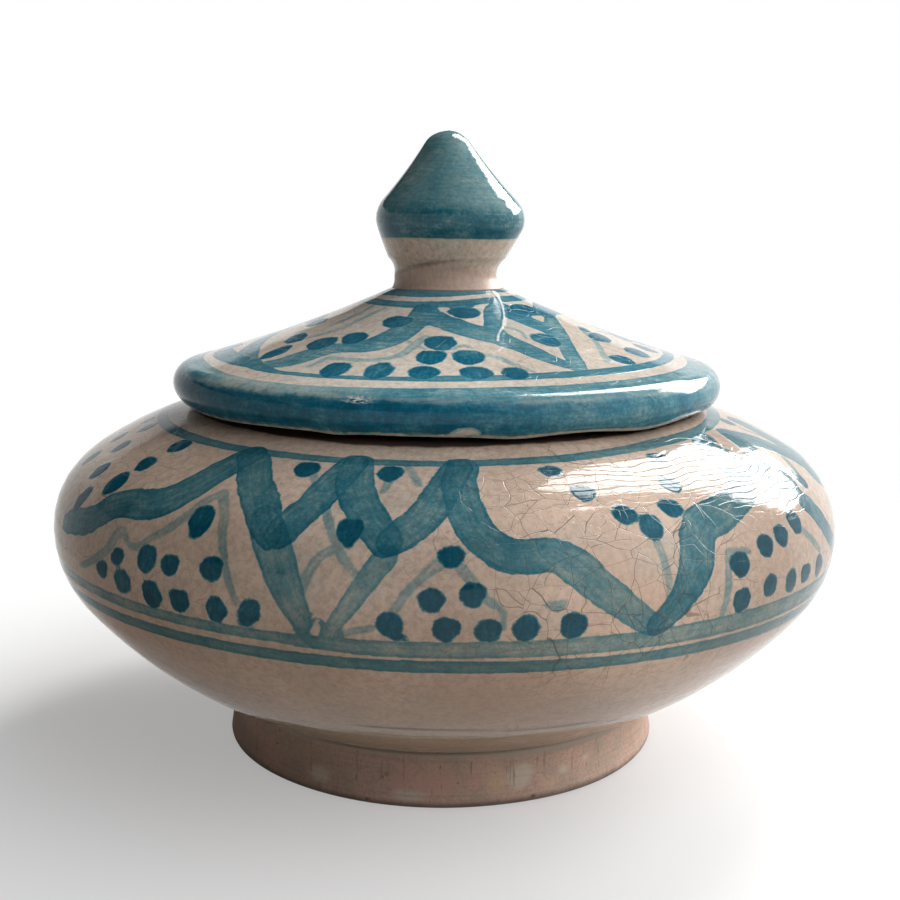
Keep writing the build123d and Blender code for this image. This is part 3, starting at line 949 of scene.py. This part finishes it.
hollow = sagged(crown_edge, step_top, -cone_sag)
cone = sagged(crest, knob_seat_edge, cone_sag)
lid_outline = joined(
    straight(crown_middle, crown_edge, 6.0),
    evenly(hollow[np.abs(hollow - step_top) > hollow_round], 4.0),
    rounded(step_top, hollow[-6], seat_inner, hollow_round),
    straight(seat_inner, seat_outer, 2.5),
    straight(seat_outer, rim_bottom_inner, 1.0),
    straight(rim_bottom_inner, rim_bottom_outer, 0.7),
    evenly(arc_through(rim_bottom_outer, rim_widest, crest), 0.55),
    evenly(cone, 0.62),
    straight(knob_seat_edge, knob_seat_middle, 6.0),
)

# Where the rim's lowest edge sags or lifts: angle, how far down, and how wide in degrees
rim_sags = [
    (12.5, 0.45, 6), (41, 0.5, 8), (-20.5, 0.35, 3.5), (-50, 0.4, 14), (27, -0.25, 7), (60, -0.35, 9),
    (100, 0.4, 12), (-120, 0.35, 15), (165, 0.4, 20), (-85, -0.3, 12),
]


def lid_settles(radius, height, angle):
    """The rim was rolled by hand: its lowest edge waves, and the lid is not quite round."""
    turn = np.radians(angle)
    wave = 0.0
    for place, drop, wide in rim_sags:
        wave = wave + drop * np.exp(-(((angle - place + 180) % 360 - 180) / wide) ** 2)
    low = np.clip((83.4 - height) / 3.0, 0, 1) * np.clip((radius - 57.7) / 1.0, 0, 1)
    rim = np.clip((radius - 57.8) / 3.0, 0, 1)
    uneven = 0.13 + 0.07 * np.sin(2 * turn + 2.0) + 0.05 * np.sin(5 * turn + height * 0.4)
    on_cone = np.clip((height - 89) / 2, 0, 1) * np.clip(104.5 - height, 0, 1)
    ridge = 0.02 * np.sin(radius * 0.9 + turn) * on_cone
    return radius - rim * uneven, height - low * wave - ridge


lid = turned("painted_lid", lid_outline, steps_round_lid, lid_settles)
lid_places = rest_places(lid, lid_outline, steps_round_lid, crest)
mark_rows(lid, lid_places)

# Rings: two round the knob's foot, one below the pattern, and the wide band over the rim, whose
# lower part took the colour twice
neck_ring = [
    (-180, 43, 2.8), (-130, 42.6, 2.8), (-80, 42.4, 2.8), (-40, 41.8, 2.8), (-20, 41.8, 3.1),
    (0, 42.4, 3.1), (20, 43.6, 2.9), (40, 44.4, 2.9), (60, 44.4, 2.7), (80, 44.4, 2.6),
    (130, 43.6, 2.7),
]
knob_ring = [
    (-180, 48.2, 4), (-130, 48, 4.6), (-80, 47.9, 4.6), (-20, 47.9, 4.6), (0, 48.2, 4.2),
    (20, 48.6, 3.4), (40, 48.9, 2.6), (80, 48.9, 2.3), (130, 48.6, 3),
]
pattern_ring = [
    (-180, 7, 2.4), (-130, 7.2, 3), (-100, 7.5, 4), (-75, 7.5, 4.8), (-60, 7.3, 4.6), (-50, 6.8, 3.6),
    (-45, 5.8, 2.8), (-40, 5, 1.8), (-30, 5, 1.7), (-20, 5.3, 1.8), (-10, 5.7, 2.1), (0, 6.3, 3),
    (10, 6.6, 2.6), (20, 7.1, 3), (40, 7.4, 3.1), (60, 7.7, 2.6), (80, 8, 2.5), (120, 7.6, 2.6),
]
rim_top = [
    (-180, 2.5), (-130, 2.6), (-90, 2.9), (-70, 2.8), (-60, 1.9), (-50, 0.8), (-40, 0), (-30, 0),
    (-20, 0.6), (-10, 1.1), (0, 1.7), (10, 2.1), (20, 2.2), (40, 2.8), (60, 3.1), (80, 3.6), (130, 3),
]
rim_ring = [(angle, (top - 10.5) / 2, top + 10.5) for angle, top in rim_top]
rim_twice = [
    (-180, -7.2, 6.4), (-90, -7.3, 6.6), (-60, -7.2, 6.7), (-30, -7.1, 6.7), (0, -7.2, 6.7),
    (40, -7.4, 6.4), (70, -7.9, 5.4), (110, -7.7, 5.8),
]
rim_bare = [
    [(0.6, -9.7), (2.2, -8.7), (4.6, -8.5), (6.3, -9.4), (6, -11.2), (1, -11.2)],
]

# The broad wings of blue, filled in between their outlines, and the patches left bare in them
wings = [
    [(-50, 8.6), (-46.5, 11), (-45.8, 13.3), (-44.3, 16), (-41, 19), (-37, 21.2), (-32, 21.1),
     (-28, 23.9), (-26, 26.1), (-23.5, 29.5), (-21, 33.5), (-20.5, 37), (-20.5, 40), (-20, 42.2),
     (-5, 42.5), (-6, 39.7), (0, 37.6), (3, 35.9), (7, 35.1), (11, 33), (15.75, 31.5), (18, 28),
     (17, 21.7), (15, 23.6), (10, 25.3), (5, 27.2), (0, 29.2), (-5, 31.4), (-8.5, 32.2), (-9.6, 31),
     (-10.5, 29.4), (-11.5, 27.2), (-14, 23.9), (-17, 21.1), (-20, 19), (-25, 17.5), (-30, 17.2),
     (-33, 16.4), (-35, 13.9), (-36.5, 11.1), (-38.5, 9.2), (-41, 7.2), (-46, 6)],
    [(-7, 42.5), (3, 39.2), (8, 40), (16.5, 41), (27, 43.6), (-5, 44)],
]
wings_right = [
    [(15, 31.5), (17, 33.9), (18, 36.1), (20, 38.6), (23, 40.6), (27, 41.9), (31, 43.4), (40, 43.4),
     (43, 41), (47, 40.4), (52, 41.5), (58, 39.8), (64, 39.6), (70, 40.6), (78, 41.4), (88, 41.3),
     (92, 40), (97, 36.5), (102, 31), (106, 25), (109, 19.5), (111.5, 13), (113, 8.4), (110.5, 8.4),
     (107, 14), (104, 19), (101, 23.5), (97, 28), (93, 31.5), (88, 33.8), (80, 34.6), (75, 34.9),
     (70, 34.7), (66, 34.2), (62, 32.8), (58, 31.1), (54, 28.9), (50, 26.1), (47, 23.9), (43.5, 21.1),
     (41, 18.3), (39, 15.6), (37, 12.2), (35, 9.4), (34, 8), (31.5, 8), (30, 9.8), (27.5, 11.7),
     (25, 14.4), (22.5, 17.2), (20, 20), (17, 21.7), (14, 24.4)],
]
wings_left = [
    [(-129, 8), (-117, 9.2), (-114, 14), (-110, 17), (-104, 18), (-99, 20), (-95, 23), (-91, 23),
     (-87, 19), (-80, 14.8), (-74, 12.2), (-70, 10.3), (-66, 9.2), (-60, 8.3), (-48, 7.6), (-50, 8.8),
     (-55, 10.3), (-60, 12.5), (-65, 14.3), (-70, 16.3), (-75, 18.3), (-80, 20.5), (-85, 24), (-89, 29),
     (-93, 33), (-96, 36), (-99, 33), (-104, 27), (-110, 23), (-118, 20), (-124, 15), (-127, 10)],
]
left_bare = [
    [(-6.5, 40.3), (-4.8, 41.2), (0.3, 41.2), (1.9, 39.8), (0.8, 38.4), (0.1, 37.5), (-2.5, 38.8)],
    [(7, 35.2), (12, 36.2), (16.5, 37), (17.3, 39.4), (15.8, 41.4), (20, 42.2), (28, 42.5), (24, 41.2),
     (21, 39.5), (19, 37.5), (17.5, 35), (16.3, 33), (15.6, 31.6), (11, 33)],
]
right_bare = [
    [(22.4, 28.9), (24.5, 32.4), (27.5, 35.2), (31, 35.4), (36, 31.4), (40, 27.2), (38.4, 23.5),
     (36.5, 20.6), (35, 18.8), (33.5, 16.4), (32.2, 13.3), (30.9, 16.1), (29.5, 19.4), (27.5, 22.8),
     (25, 25.6)],
    [(46, 35.6), (50, 36), (57, 35.2), (52, 33.6), (48.5, 32.3), (46.6, 34)],
]
lid_lines = [
    [(-40, 39.4, 1.3), (-42, 36.7, 1.5), (-44, 32.8, 1.5), (-45, 29.4, 1.4), (-47, 26.7, 1.6),
     (-50, 24.4, 1.4), (-52.5, 22.5, 1.1)],
    [(-34, 9, 1), (-33, 11.7, 1.4), (-32, 13.9, 1.5), (-25, 13.9, 1.7), (-20, 14.2, 1.7),
     (-17, 15, 1.7), (-13.5, 16.7, 1.9), (-11.5, 19.4, 2), (-10, 22.8, 2.3), (-8, 26.1, 2)],
    [(-13, 24, 0.9), (-10, 22.6, 1), (-6.5, 20.4, 0.8)],
    [(1.6, 20.6, 0.9), (5, 22.3, 1.3), (7.6, 21, 1)],
    [(10, 17.8, 1), (13, 17.2, 1.4), (15, 15, 1.6), (17.5, 12.2, 1.6), (20, 9.4, 1.3)],
]
lid_lines_right = [
    [(-51.5, 39.4, 1.4), (-52, 35, 1.6), (-53.5, 31.1, 1.5), (-54.5, 28.9, 1.2)],
    [(44, 11.7, 1.2), (46, 12.8, 1.7), (48, 15, 1.7), (50, 16.7, 1.5), (54, 19.4, 1.5), (58, 22.2, 1.5),
     (63, 26.1, 1.4), (68, 28.3, 1.2)],
    [(24.5, 31.2, 0.9), (27, 30.2, 1.1), (29.5, 28.2, 0.9), (28.5, 25.5, 0.8)],
    [(95, 12, 1.2), (92, 15.5, 1.5), (88, 19, 1.4), (82, 22.5, 1.2), (76, 24.6, 1)],
]
lid_dabs = [
    (-42.3, 20.3, 6.5, 7, 20), (-33.1, 24.2, 5.8, 6.2, 15), (-23.2, 33.2, 6.6, 5.6, 10),
    (-26.2, 8.4, 6, 7.4, 0), (-15.7, 9, 5.8, 8.2, 0), (-5.2, 8.9, 6.2, 6.2, 0), (-4.3, 16.4, 6, 6.8, 0),
    (-2.2, 23.4, 6.6, 7, 5), (5.8, 16.6, 6.4, 7, 0), (6.7, 9, 6.6, 6, 0), (15.6, 8.5, 5.5, 5.8, 0),
    (9.5, 38.2, 7.2, 5.2, 0),
]
lid_dabs_right = [
    (-71, 29, 7, 5, 0), (-58.6, 21.1, 6.9, 5.2, -25), (-52.7, 13.5, 5.2, 8, 5), (35.6, 24, 6.2, 6.9, 0),
    (51, 39.2, 8, 4.8, 0), (51.2, 11.5, 5.9, 5.3, 0), (65, 13.4, 6.9, 5.9, 0), (64.5, 22.5, 8.2, 5, 8),
    (77.8, 13.4, 6, 6, 20), (67, 26.9, 3.2, 2.4, 0), (90, 13.6, 6, 6.2, 0), (84, 19.6, 5.6, 5.8, 0),
    (99, 11.6, 5.6, 6, 0), (92.5, 24, 5.4, 5.8, 0), (-82, 30, 6, 5.4, 0), (-112, 24, 5.8, 6.2, 0),
    (-121, 20.6, 6, 6.6, 0), (-103, 32, 6, 5.6, 0), (-105, 8.4, 6, 7.2, 0), (-94, 9, 5.8, 7.8, 0),
    (-84, 9.4, 6, 5.8, 0), (-93.6, 16.2, 5.8, 6.4, 0),
]

# The back repeats the front's points, drawn closer together, with one more wing between them
cross_wing = [
    [(14, 32), (19, 39), (24, 42.5), (33, 43), (36, 30), (37, 18), (36, 8), (30, 8), (27.5, 11.7),
     (22.5, 17.2), (17, 21.7), (13, 25)],
]
shake = np.random.default_rng(11)
wing_areas = wings + wings_right + wings_left
bare_areas = left_bare + right_bare
line_layer = lid_lines + lid_lines_right
dab_layer = lid_dabs + lid_dabs_right
for turn in (147.9, 209.5):
    wing_areas = wing_areas + shaken(wings, turn, -60, shake, 0.78)
    bare_areas = bare_areas + shaken(left_bare, turn, -60, shake, 0.78)
    line_layer = line_layer + shaken(lid_lines, turn, -60, shake, 0.78)
    dab_layer = dab_layer + shaken_dabs(lid_dabs, turn, -60, shake, 0.78)
    wing_areas = wing_areas + shaken(cross_wing, turn, -60, shake, 0.78)
brush(lid, "wing_brush", lid_places, areas=wing_areas, bare=bare_areas)
brush(lid, "rim_brush", lid_places, rings=[rim_ring], bare=rim_bare)
brush(lid, "rim_second_brush", lid_places, rings=[rim_twice], bare=rim_bare)
brush(lid, "line_brush", lid_places, line_layer)
brush(lid, "ring_brush", lid_places, rings=[neck_ring, knob_ring, pattern_ring])
brush(lid, "dab_brush", lid_places, dabs=dab_layer)

# A run of glaze that came down the lid from the knob's foot, with a painted highlight along it
glaze_run = [
    [(17.2, 24.6, 1), (19.6, 28, 0.9), (24, 31.5, 0.9), (33, 38.5, 0.9), (42, 44, 1), (50, 47.8, 2)],
]
brush(lid, "glaze_run", lid_places, glaze_run)

lid_paler_and_lit = (1.27, 1.43, 1.52, 1)
fleck_grey = (0.36, 0.37, 0.33, 1)
rub_grey = (0.66, 0.66, 0.60, 1)
lid_crack_brown = (0.09, 0.065, 0.05, 1)
run_painted_highlight = (0.86, 0.87, 0.84, 1)
look = Nodes(bpy.data.materials.new("painted_lid_glaze"))
spot = look.place()
# The lid's cream is paler than the bowl's: partly its own colour, partly painted light from above
ground = cream_glaze(look, spot, lid_paler_and_lit)
old_cracks = look.between(look.cloud(spot, 0.03, 2.0), 0.42, 0.6, 0.1, 0.7)
crack = crazing(look, spot, 5.5, 0.075, old_cracks)
marks = hand_marks(look, spot)
ink = painted_layer(look, "wing_brush", marks, strength=1.0, pooling=0.2, streaks=0.5)
high = look.part(spot, 2)
ink = look.times(ink, look.between(high, 95.0, 104.0, 0.92, 1.4))
ring = painted_layer(look, "ring_brush", marks, strength=1.15, pooling=0.2, streaks=0.24)
ink = look.most(ink, ring)
line = painted_layer(look, "line_brush", marks, strength=0.28, pooling=0.1, streaks=0.16,
                     ragged=0.4, soft=0.3)
ink = look.plus(ink, line)
across = look.part(spot, 0)
band = painted_layer(look, "rim_brush", marks, strength=0.95, pooling=0.3, streaks=0.45)
left_wash = look.between(across, -30, 5, 0.4, 1.0)
washed = look.most(left_wash, look.between(across, -45, -58, 0.4, 1.1))
washed = look.times(washed, look.between(across, 5, 36, 1.0, 0.8))
ink = look.plus(ink, look.times(band, washed))
band = painted_layer(look, "rim_second_brush", marks, strength=1.1, pooling=0.0, streaks=0.4,
                     ragged=1.2, soft=0.9)
ink = look.plus(ink, look.times(band, look.between(across, -30, 34, 1.6, 0.4)))
dabbed = painted_layer(look, "dab_brush", marks, strength=2.0, pooling=0.4, streaks=0.8,
                       ragged=0.7, soft=0.35)
ink = look.most(ink, dabbed)
from_break = look.part(look.stored("rim_second_brush"), 0)
break_line = look.sum("ABSOLUTE", look.sum("SUBTRACT", from_break, 0.3))
drawn_out = look.stretched(spot, (0.1, 0.1, 0.6))
fleck = look.between(look.cloud(drawn_out, 1.0, 4.0, 0.7), 0.44, 0.66)
flecks = look.times(fleck, look.between(break_line, 1.1, 0.1, 0.0, 0.42))
flat_spot = look.stretched(spot, (1.0, 1.0, 5.0))
rubbed = look.away(flat_spot, (-17.0, -60.5, 435.5))
scuffs = look.cloud(look.stretched(spot, (0.8, 0.8, 3.0)), 1.0, 3.0, 0.7)
rub = look.times(look.between(rubbed, 4.6, 2.0), look.between(scuffs, 0.46, 0.6))
colour = stained(look, ground, ink)
colour = look.blend(flecks, colour, fleck_grey)
colour = look.blend(rub, colour, rub_grey)
colour = look.over(colour, crack, 0.8, lid_crack_brown)
# Painted shade: the lid's underside round its seat and inside its rim is painted almost black over a clay
# colour, for the shade in the gap over the bowl's shoulder
outward = look.away(look.stretched(spot, (1.0, 1.0, 0.0)), (0, 0, 0))
under = look.between(high, lid_seat + 0.4, lid_seat + 0.1)
under = look.times(under, look.between(outward, 60.2, 58.6))
shaded_clay = look.blend(0.85, bare_clay(look, spot), gap_painted_shade)
under = look.times(under, look.between(outward, flange_bore - 3.0, flange_bore))
colour = look.blend(under, colour, shaded_clay)
run_edge = look.part(look.stored("glaze_run"), 0)
run = look.between(run_edge, 0.4, -0.6, 0.0, 9.0)
# Painted highlight: a thin near-white line along the run, for the window mirrored in it
gleam = look.between(look.plus(run_edge, look.times(marks[0], 0.3)), 0.05, -0.25)
colour = look.over(colour, gleam, 0.85, run_painted_highlight)
glaze(look, spot, colour, crack, look.plus(ink, run), 0.05)
lid.data.materials.append(look.owner)
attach(lid, "cover")
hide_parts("lid")

# Lid flange. A plain ring of the same clay, luted under the lid so that it drops into the bowl's
# mouth and keeps the lid centred; bare where it rubs, with a thin film of glaze on it.
flange_radius = 48.8
flange_bottom = 75.0
flange_round = 1.2
steps_round_flange = 420

flange_top_inner = flange_bore + 1j * lid_seat
flange_top_outer = flange_radius + 1j * lid_seat
flange_low_inner = flange_bore + 1j * flange_bottom
flange_low_outer = flange_radius + 1j * flange_bottom
flange_outline = joined(
    rounded(flange_low_inner, flange_top_inner, flange_low_outer, flange_round),
    rounded(flange_low_outer, flange_low_inner, flange_top_outer, flange_round),
    straight(flange_low_outer + 1j * flange_round, flange_top_outer, 0.8)[1:],
    straight(flange_top_outer, flange_top_inner, 1.4)[1:],
    straight(flange_top_inner, flange_low_inner + 1j * flange_round, 0.8)[1:-1],
)


def flange_settles(radius, height, angle):
    """Trimmed by eye: its thickness and its lower edge vary by a tenth or two."""
    turn = np.radians(angle)
    lower = np.clip((82 - height) / 3, 0, 1)
    lift = 0.15 + 0.12 * np.sin(3 * turn + 0.6) * np.clip((78 - height) / 2, 0, 1)
    outer = np.clip((radius - 47) / 1.5, 0, 1)
    return radius - outer * lower * (0.12 + 0.1 * np.sin(2 * turn + 2.2)), height + lower * lift


lid_flange = turned("lid_flange_ring", flange_outline, steps_round_flange, flange_settles)
film_cream = (0.52, 0.435, 0.35, 1)
trimming_brown = (0.30, 0.215, 0.17, 1)
look = Nodes(bpy.data.materials.new("thinly_glazed_flange"))
spot = look.place()
filmed = look.cloud(look.stretched(spot, (0.5, 0.5, 1.6)), 0.25, 4.0, 0.6)
film = look.between(filmed, 0.4, 0.6)
colour = look.blend(film, bare_clay(look, spot), film_cream)
trimmed = look.cloud(look.stretched(spot, (0.06, 0.06, 1.8)), 1.0, 3.0, 0.6)
colour = look.blend(look.between(trimmed, 0.5, 0.8, 0.0, 0.5), colour, trimming_brown)
look.set("Base Color", colour)
look.set("Roughness", look.between(film, 0.0, 1.0, 0.8, 0.4))
look.set("Specular IOR Level", 0.3)
grit = look.times(look.cloud(spot, 1.3, 3.0), 0.3)
grit = look.scaled(trimmed, 0.5, grit)
look.bump(grit, 0.6, 0.0006)
lid_flange.data.materials.append(look.owner)
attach(lid_flange, "cover")
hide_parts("lid_flange")

# Knob. A pointed bulb thrown by itself and luted to the lid on a drawn-in neck, where the join
# shows as a slanting seam over bare pink clay; cream above it, and the bulb dipped in blue-green.
neck = 11.9 + 107.7j
flare_start = 13.6 + 112.3j
bulb_edge = 18.3 + 122.3j
bulb_round = 6.2
flank_sag = 0.4
point_start = 5.2 + 138.3j
steps_round_knob = 440

flank = sagged(bulb_edge, point_start, flank_sag)
flank_heading = (flank[-1] - flank[-2]) / abs(flank[-1] - flank[-2])
point_lean = math.pi - np.angle(flank_heading)
tip = 1j * (point_start.imag + point_start.real * math.tan(point_lean / 2))
point = run_on(point_start, flank_heading, tip)
bulb = rounded(bulb_edge, flare_start, flank[2], bulb_round)
knob_outline = joined(
    straight(knob_seat_middle, knob_seat_edge, 6.0),
    evenly(arc_through(knob_seat_edge, neck, flare_start), 0.45),
    evenly(joined(np.array([flare_start]), bulb), 0.5)[1:],
    evenly(flank[np.abs(flank - bulb_edge) > bulb_round * 0.7], 0.5),
    evenly(point, 0.5)[1:],
)


# How far the knob stands aside at each height, to the right
knob_sway = [(105.5, 0), (108, -0.6), (114, -0.1), (119, 0.45), (123, 0.4), (131, 0), (140, -0.45)]


def knob_settles(radius, height, angle):
    """The knob stands a little crooked: bulb to the right, neck and point to the left."""
    turn = np.radians(angle)
    aside = np.interp(height, *zip(*knob_sway))
    away = np.clip(radius / 4, 0, 1)
    wobble = 0.1 * np.sin(2 * turn + height * 0.2) * np.clip((height - 106) / 3, 0, 1) * away
    groove = 0.25 * np.exp(-((height - 110.9 - 1.3 * np.sin(turn + 0.35)) / 0.35) ** 2)
    from_left = (angle + 35 - 360 * (angle > 180)) / 40
    groove = groove * np.clip((height - 106) / 2, 0, 1) * np.exp(-from_left ** 2)
    sunk = 0.1 * np.clip((height - 138) / 2, 0, 1)
    return radius + (aside * np.sin(turn) + wobble) * away - groove, height - sunk


knob = turned("pointed_knob", knob_outline, steps_round_knob, knob_settles)
knob_places = rest_places(knob, knob_outline, steps_round_knob, knob_seat_edge)
mark_rows(knob, knob_places)

# The colour that the bulb was dipped in, a fuller band round its widest part, the bare clay of the
# neck, and the seam where it was luted on
cap = [
    (-180, 36.5, 47.2), (-90, 36.4, 47.4), (-30, 36.5, 47.2), (0, 36.4, 47.2), (45, 36.4, 47.4),
    (90, 36.5, 47.2),
]
cap_band = [(-180, 16.4, 5.4), (-60, 16.6, 5.8), (0, 16.6, 6.2), (50, 16.2, 5.4), (110, 16.4, 5)]
clay_ring = [
    (-180, 0.8, 6.2), (-60, 0.8, 6.6), (-20, 1.4, 9), (10, 1.4, 9.2), (50, 0.8, 6.8), (110, 0.6, 6),
]
seam = [
    [(-82, 3.6, 0.4), (-62, 4.1, 0.9), (-38, 5.3, 1), (-14, 6.5, 0.9), (6, 7.3, 0.5)],
]
cap_edge = [(-180, 14, 2.4), (-60, 14, 2.6), (0, 14, 2.2), (90, 14.1, 2.4)]
brush(knob, "cap_brush", knob_places, rings=[cap])
brush(knob, "cap_second_brush", knob_places, rings=[cap_band])
brush(knob, "cap_edge_brush", knob_places, rings=[cap_edge])
brush(knob, "bare_ring", knob_places, rings=[clay_ring])
brush(knob, "seam_line", knob_places, seam)

knob_paler_and_lit = (1.42, 1.48, 1.5, 1)
neck_clay = (0.48, 0.335, 0.265, 1)
greyer_cap = (1.1, 0.92, 0.88, 1)
speckle_brown = (0.24, 0.20, 0.16, 1)
seam_brown = (0.16, 0.11, 0.085, 1)
look = Nodes(bpy.data.materials.new("dipped_knob_glaze"))
spot = look.place()
marks = hand_marks(look, spot)
ink = painted_layer(look, "cap_brush", marks, strength=0.92, pooling=0.2, streaks=0.26, ragged=0.12)
band = painted_layer(look, "cap_second_brush", marks, strength=0.45, pooling=0.0, streaks=0.6,
                     ragged=1.4, soft=1.2)
edge = painted_layer(look, "cap_edge_brush", marks, strength=0.5, pooling=0.0, streaks=0.3,
                     ragged=0.2, soft=0.7)
ink = look.plus(look.plus(ink, band), edge)
waver = look.scaled(look.cloud(spot, 0.4, 3.0), 2.0, -1.0)
thin = layer_edge(look, "bare_ring", waver, 1.2)
# The knob's cream is paler: partly its own colour, partly painted light from above
ground = cream_glaze(look, spot, knob_paler_and_lit)
ground = look.over(ground, thin, 0.85, neck_clay)
colour = stained(look, ground, ink)
greyed = look.blend(look.sum("MINIMUM", ink, 1.0), untinted, greyer_cap)
colour = look.tinted(colour, greyed)
seamed = layer_edge(look, "seam_line", look.times(waver, 0.3), 0.4)
speckle = look.cloud(look.stretched(spot, (1.0, 1.0, 0.6)), 1.1, 4.0, 0.7)
speckle = look.between(speckle, 0.4, 0.68, 0.0, 0.4)
colour = look.over(colour, speckle, look.between(ink, 0.5, 0.1), speckle_brown)
colour = look.over(colour, seamed, 0.5, seam_brown)
glaze(look, spot, colour, seamed, ink, 0.3)
look.set("Roughness", look.between(thin, 0.0, 1.0, 0.09, 0.4))
knob.data.materials.append(look.owner)
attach(knob, "cover")
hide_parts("knob")

# Studio: a plain pale floor inside a plain round backdrop, a window of three upright panes behind
# the jar on its right, and a dim sky with one soft bright place, high on the right. The floor
# keeps the jar's shadow; further out, floor and backdrop are plain white.
def stage_look(piece, colour, paper=None):
    """Floor or backdrop: plain white to the camera and in the glaze, and this colour where it only
    throws light back. Paper that does not glow lies round the jar, so that its shadow shows."""
    look = Nodes(bpy.data.materials.new(piece.name))
    look.tree.nodes.clear()
    path = look.add("LightPath").outputs
    seen = look.most(path["Is Camera Ray"], path["Is Glossy Ray"])
    seen = look.most(seen, path["Is Transmission Ray"])
    lit = look.add("BsdfDiffuse", {"Color": colour})
    shown = look.add("Emission", {"Color": (1, 1, 1, 1), "Strength": 1.0})
    if paper:
        from_middle = look.away(look.add("TexCoord").outputs["Object"], (0, 0, 0))
        far = look.between(from_middle, 0.1, 0.4, 0.35)
        near = look.add("BsdfDiffuse", {"Color": paper})
        shown = look.add("MixShader", {0: far, 1: near.outputs[0], 2: shown.outputs[0]})
    both = look.add("MixShader", {0: seen, 1: lit.outputs[0], 2: shown.outputs[0]})
    look.add("OutputMaterial", {"Surface": both.outputs[0]})
    piece.data.materials.append(look.owner)


floor_half = 6.0
floor_corners = [(-floor_half, -floor_half, 0), (floor_half, -floor_half, 0),
                 (floor_half, floor_half, 0), (-floor_half, floor_half, 0)]
floor_mesh = bpy.data.meshes.new("studio_floor")
floor_mesh.from_pydata(floor_corners, [], [(0, 1, 2, 3)])
floor = placed("studio_floor", floor_mesh)
stage_look(floor, (0.56, 0.53, 0.50, 1), (0.86, 0.86, 0.86, 1))

backdrop_radius = 5.0
backdrop_height = 1.5
backdrop_steps = 96
around = np.radians(np.arange(backdrop_steps) * 360.0 / backdrop_steps)
foot_line = [(backdrop_radius * math.sin(a), -backdrop_radius * math.cos(a), -0.01) for a in around]
top_line = [(x, y, backdrop_height) for x, y, z in foot_line]
panels = [(n, (n + 1) % backdrop_steps, backdrop_steps + (n + 1) % backdrop_steps, backdrop_steps + n)
          for n in range(backdrop_steps)]
backdrop_mesh = bpy.data.meshes.new("studio_backdrop")
backdrop_mesh.from_pydata(foot_line + top_line, [], panels)
backdrop = placed("studio_backdrop", backdrop_mesh)
stage_look(backdrop, (0.25, 0.25, 0.25, 1))

# The sky: dim, paler overhead and to the right, with one soft bright place that the glaze mirrors
# less strongly than it lights
glow_middle = (0.814, -0.296, 0.5)
glow_strength = 3.3
bpy.context.scene.world = bpy.data.worlds.new("studio_sky")
sky = Nodes(bpy.context.scene.world)
sky.tree.nodes.clear()
facing = sky.add("TexCoord").outputs["Generated"]
toward = sky.add("SeparateXYZ", {0: facing}).outputs
overhead = sky.between(toward[2], 0.1, 1.0, 0.05, 0.2)
sideways = sky.add("MapRange", {"Value": toward[0], "From Min": -1.0, "To Min": 0.1, "To Max": 1.3})
dim = sky.times(overhead, sideways.outputs["Result"])
from_glow = sky.add("VectorMath", {0: facing, 1: glow_middle}, operation="DOT_PRODUCT").outputs["Value"]
mirrored = sky.scaled(sky.add("LightPath").outputs["Is Glossy Ray"], -0.6, 1.0)
glow = sky.times(sky.between(from_glow, 0.6, 1.0, 0.0, glow_strength), mirrored)
background = sky.add("Background", {"Color": (0.97, 0.98, 1.0, 1), "Strength": sky.plus(dim, glow)})
sky.add("OutputWorld", {"Surface": background.outputs[0]})

# The window's panes, an arm's length from the jar: how far aside, how high, how wide and how tall
# each one is, in metres, and its watts. The glaze mirrors one set, and a dimmer one lights the jar.
window_turn = math.radians(138)
window_distance = 1.0
daylight = (1.0, 0.99, 0.97)
panes = {"tall_pane": (0.139, 1.35, 0.451, 1.61, 34.5), "side_pane": (-0.236, 0.68, 0.297, 0.265, 3.8),
         "low_pane": (-0.095, 0.44, 0.578, 0.22, 6.1)}
outward = Vector((math.sin(window_turn), -math.cos(window_turn), 0)) * window_distance
along_window = Vector((outward.y, -outward.x, 0))
for kind, share in (("gleam", 1.0), ("light", 0.8)):
    for name, (aside, up, wide, tall, watts) in panes.items():
        lamp = bpy.data.lights.new(name + "_" + kind, "AREA")
        lamp.shape = "RECTANGLE"
        lamp.size = wide
        lamp.size_y = tall
        lamp.energy = watts * share
        lamp.color = daylight
        pane = placed(lamp.name, lamp)
        pane.visible_diffuse = kind == "light"
        pane.visible_glossy = kind == "gleam"
        pane.location = outward + along_window * -aside + Vector((0, 0, up))
        pane.rotation_euler = outward.to_track_quat("Z", "Y").to_euler()

# Camera, as the photograph was taken: close by, a little above the jar, and held not quite level
camera_place = Vector((0, -0.3032, 0.1210))
looked_at = Vector((0.00094, 0, 0.0669))
held = Euler((0, 0, math.radians(0.63))).to_quaternion()
camera_data = bpy.data.cameras.new("camera")
camera_data.lens = 51.72
camera_data.sensor_width = 36.0
camera_data.clip_start = 0.01
camera_data.clip_end = 50.0
camera = placed("camera", camera_data)
camera.location = camera_place
camera.rotation_mode = "QUATERNION"
camera.rotation_quaternion = (looked_at - camera_place).to_track_quat("-Z", "Y") @ held
bpy.context.scene.camera = camera
bpy.context.scene.view_settings.view_transform = "Standard"
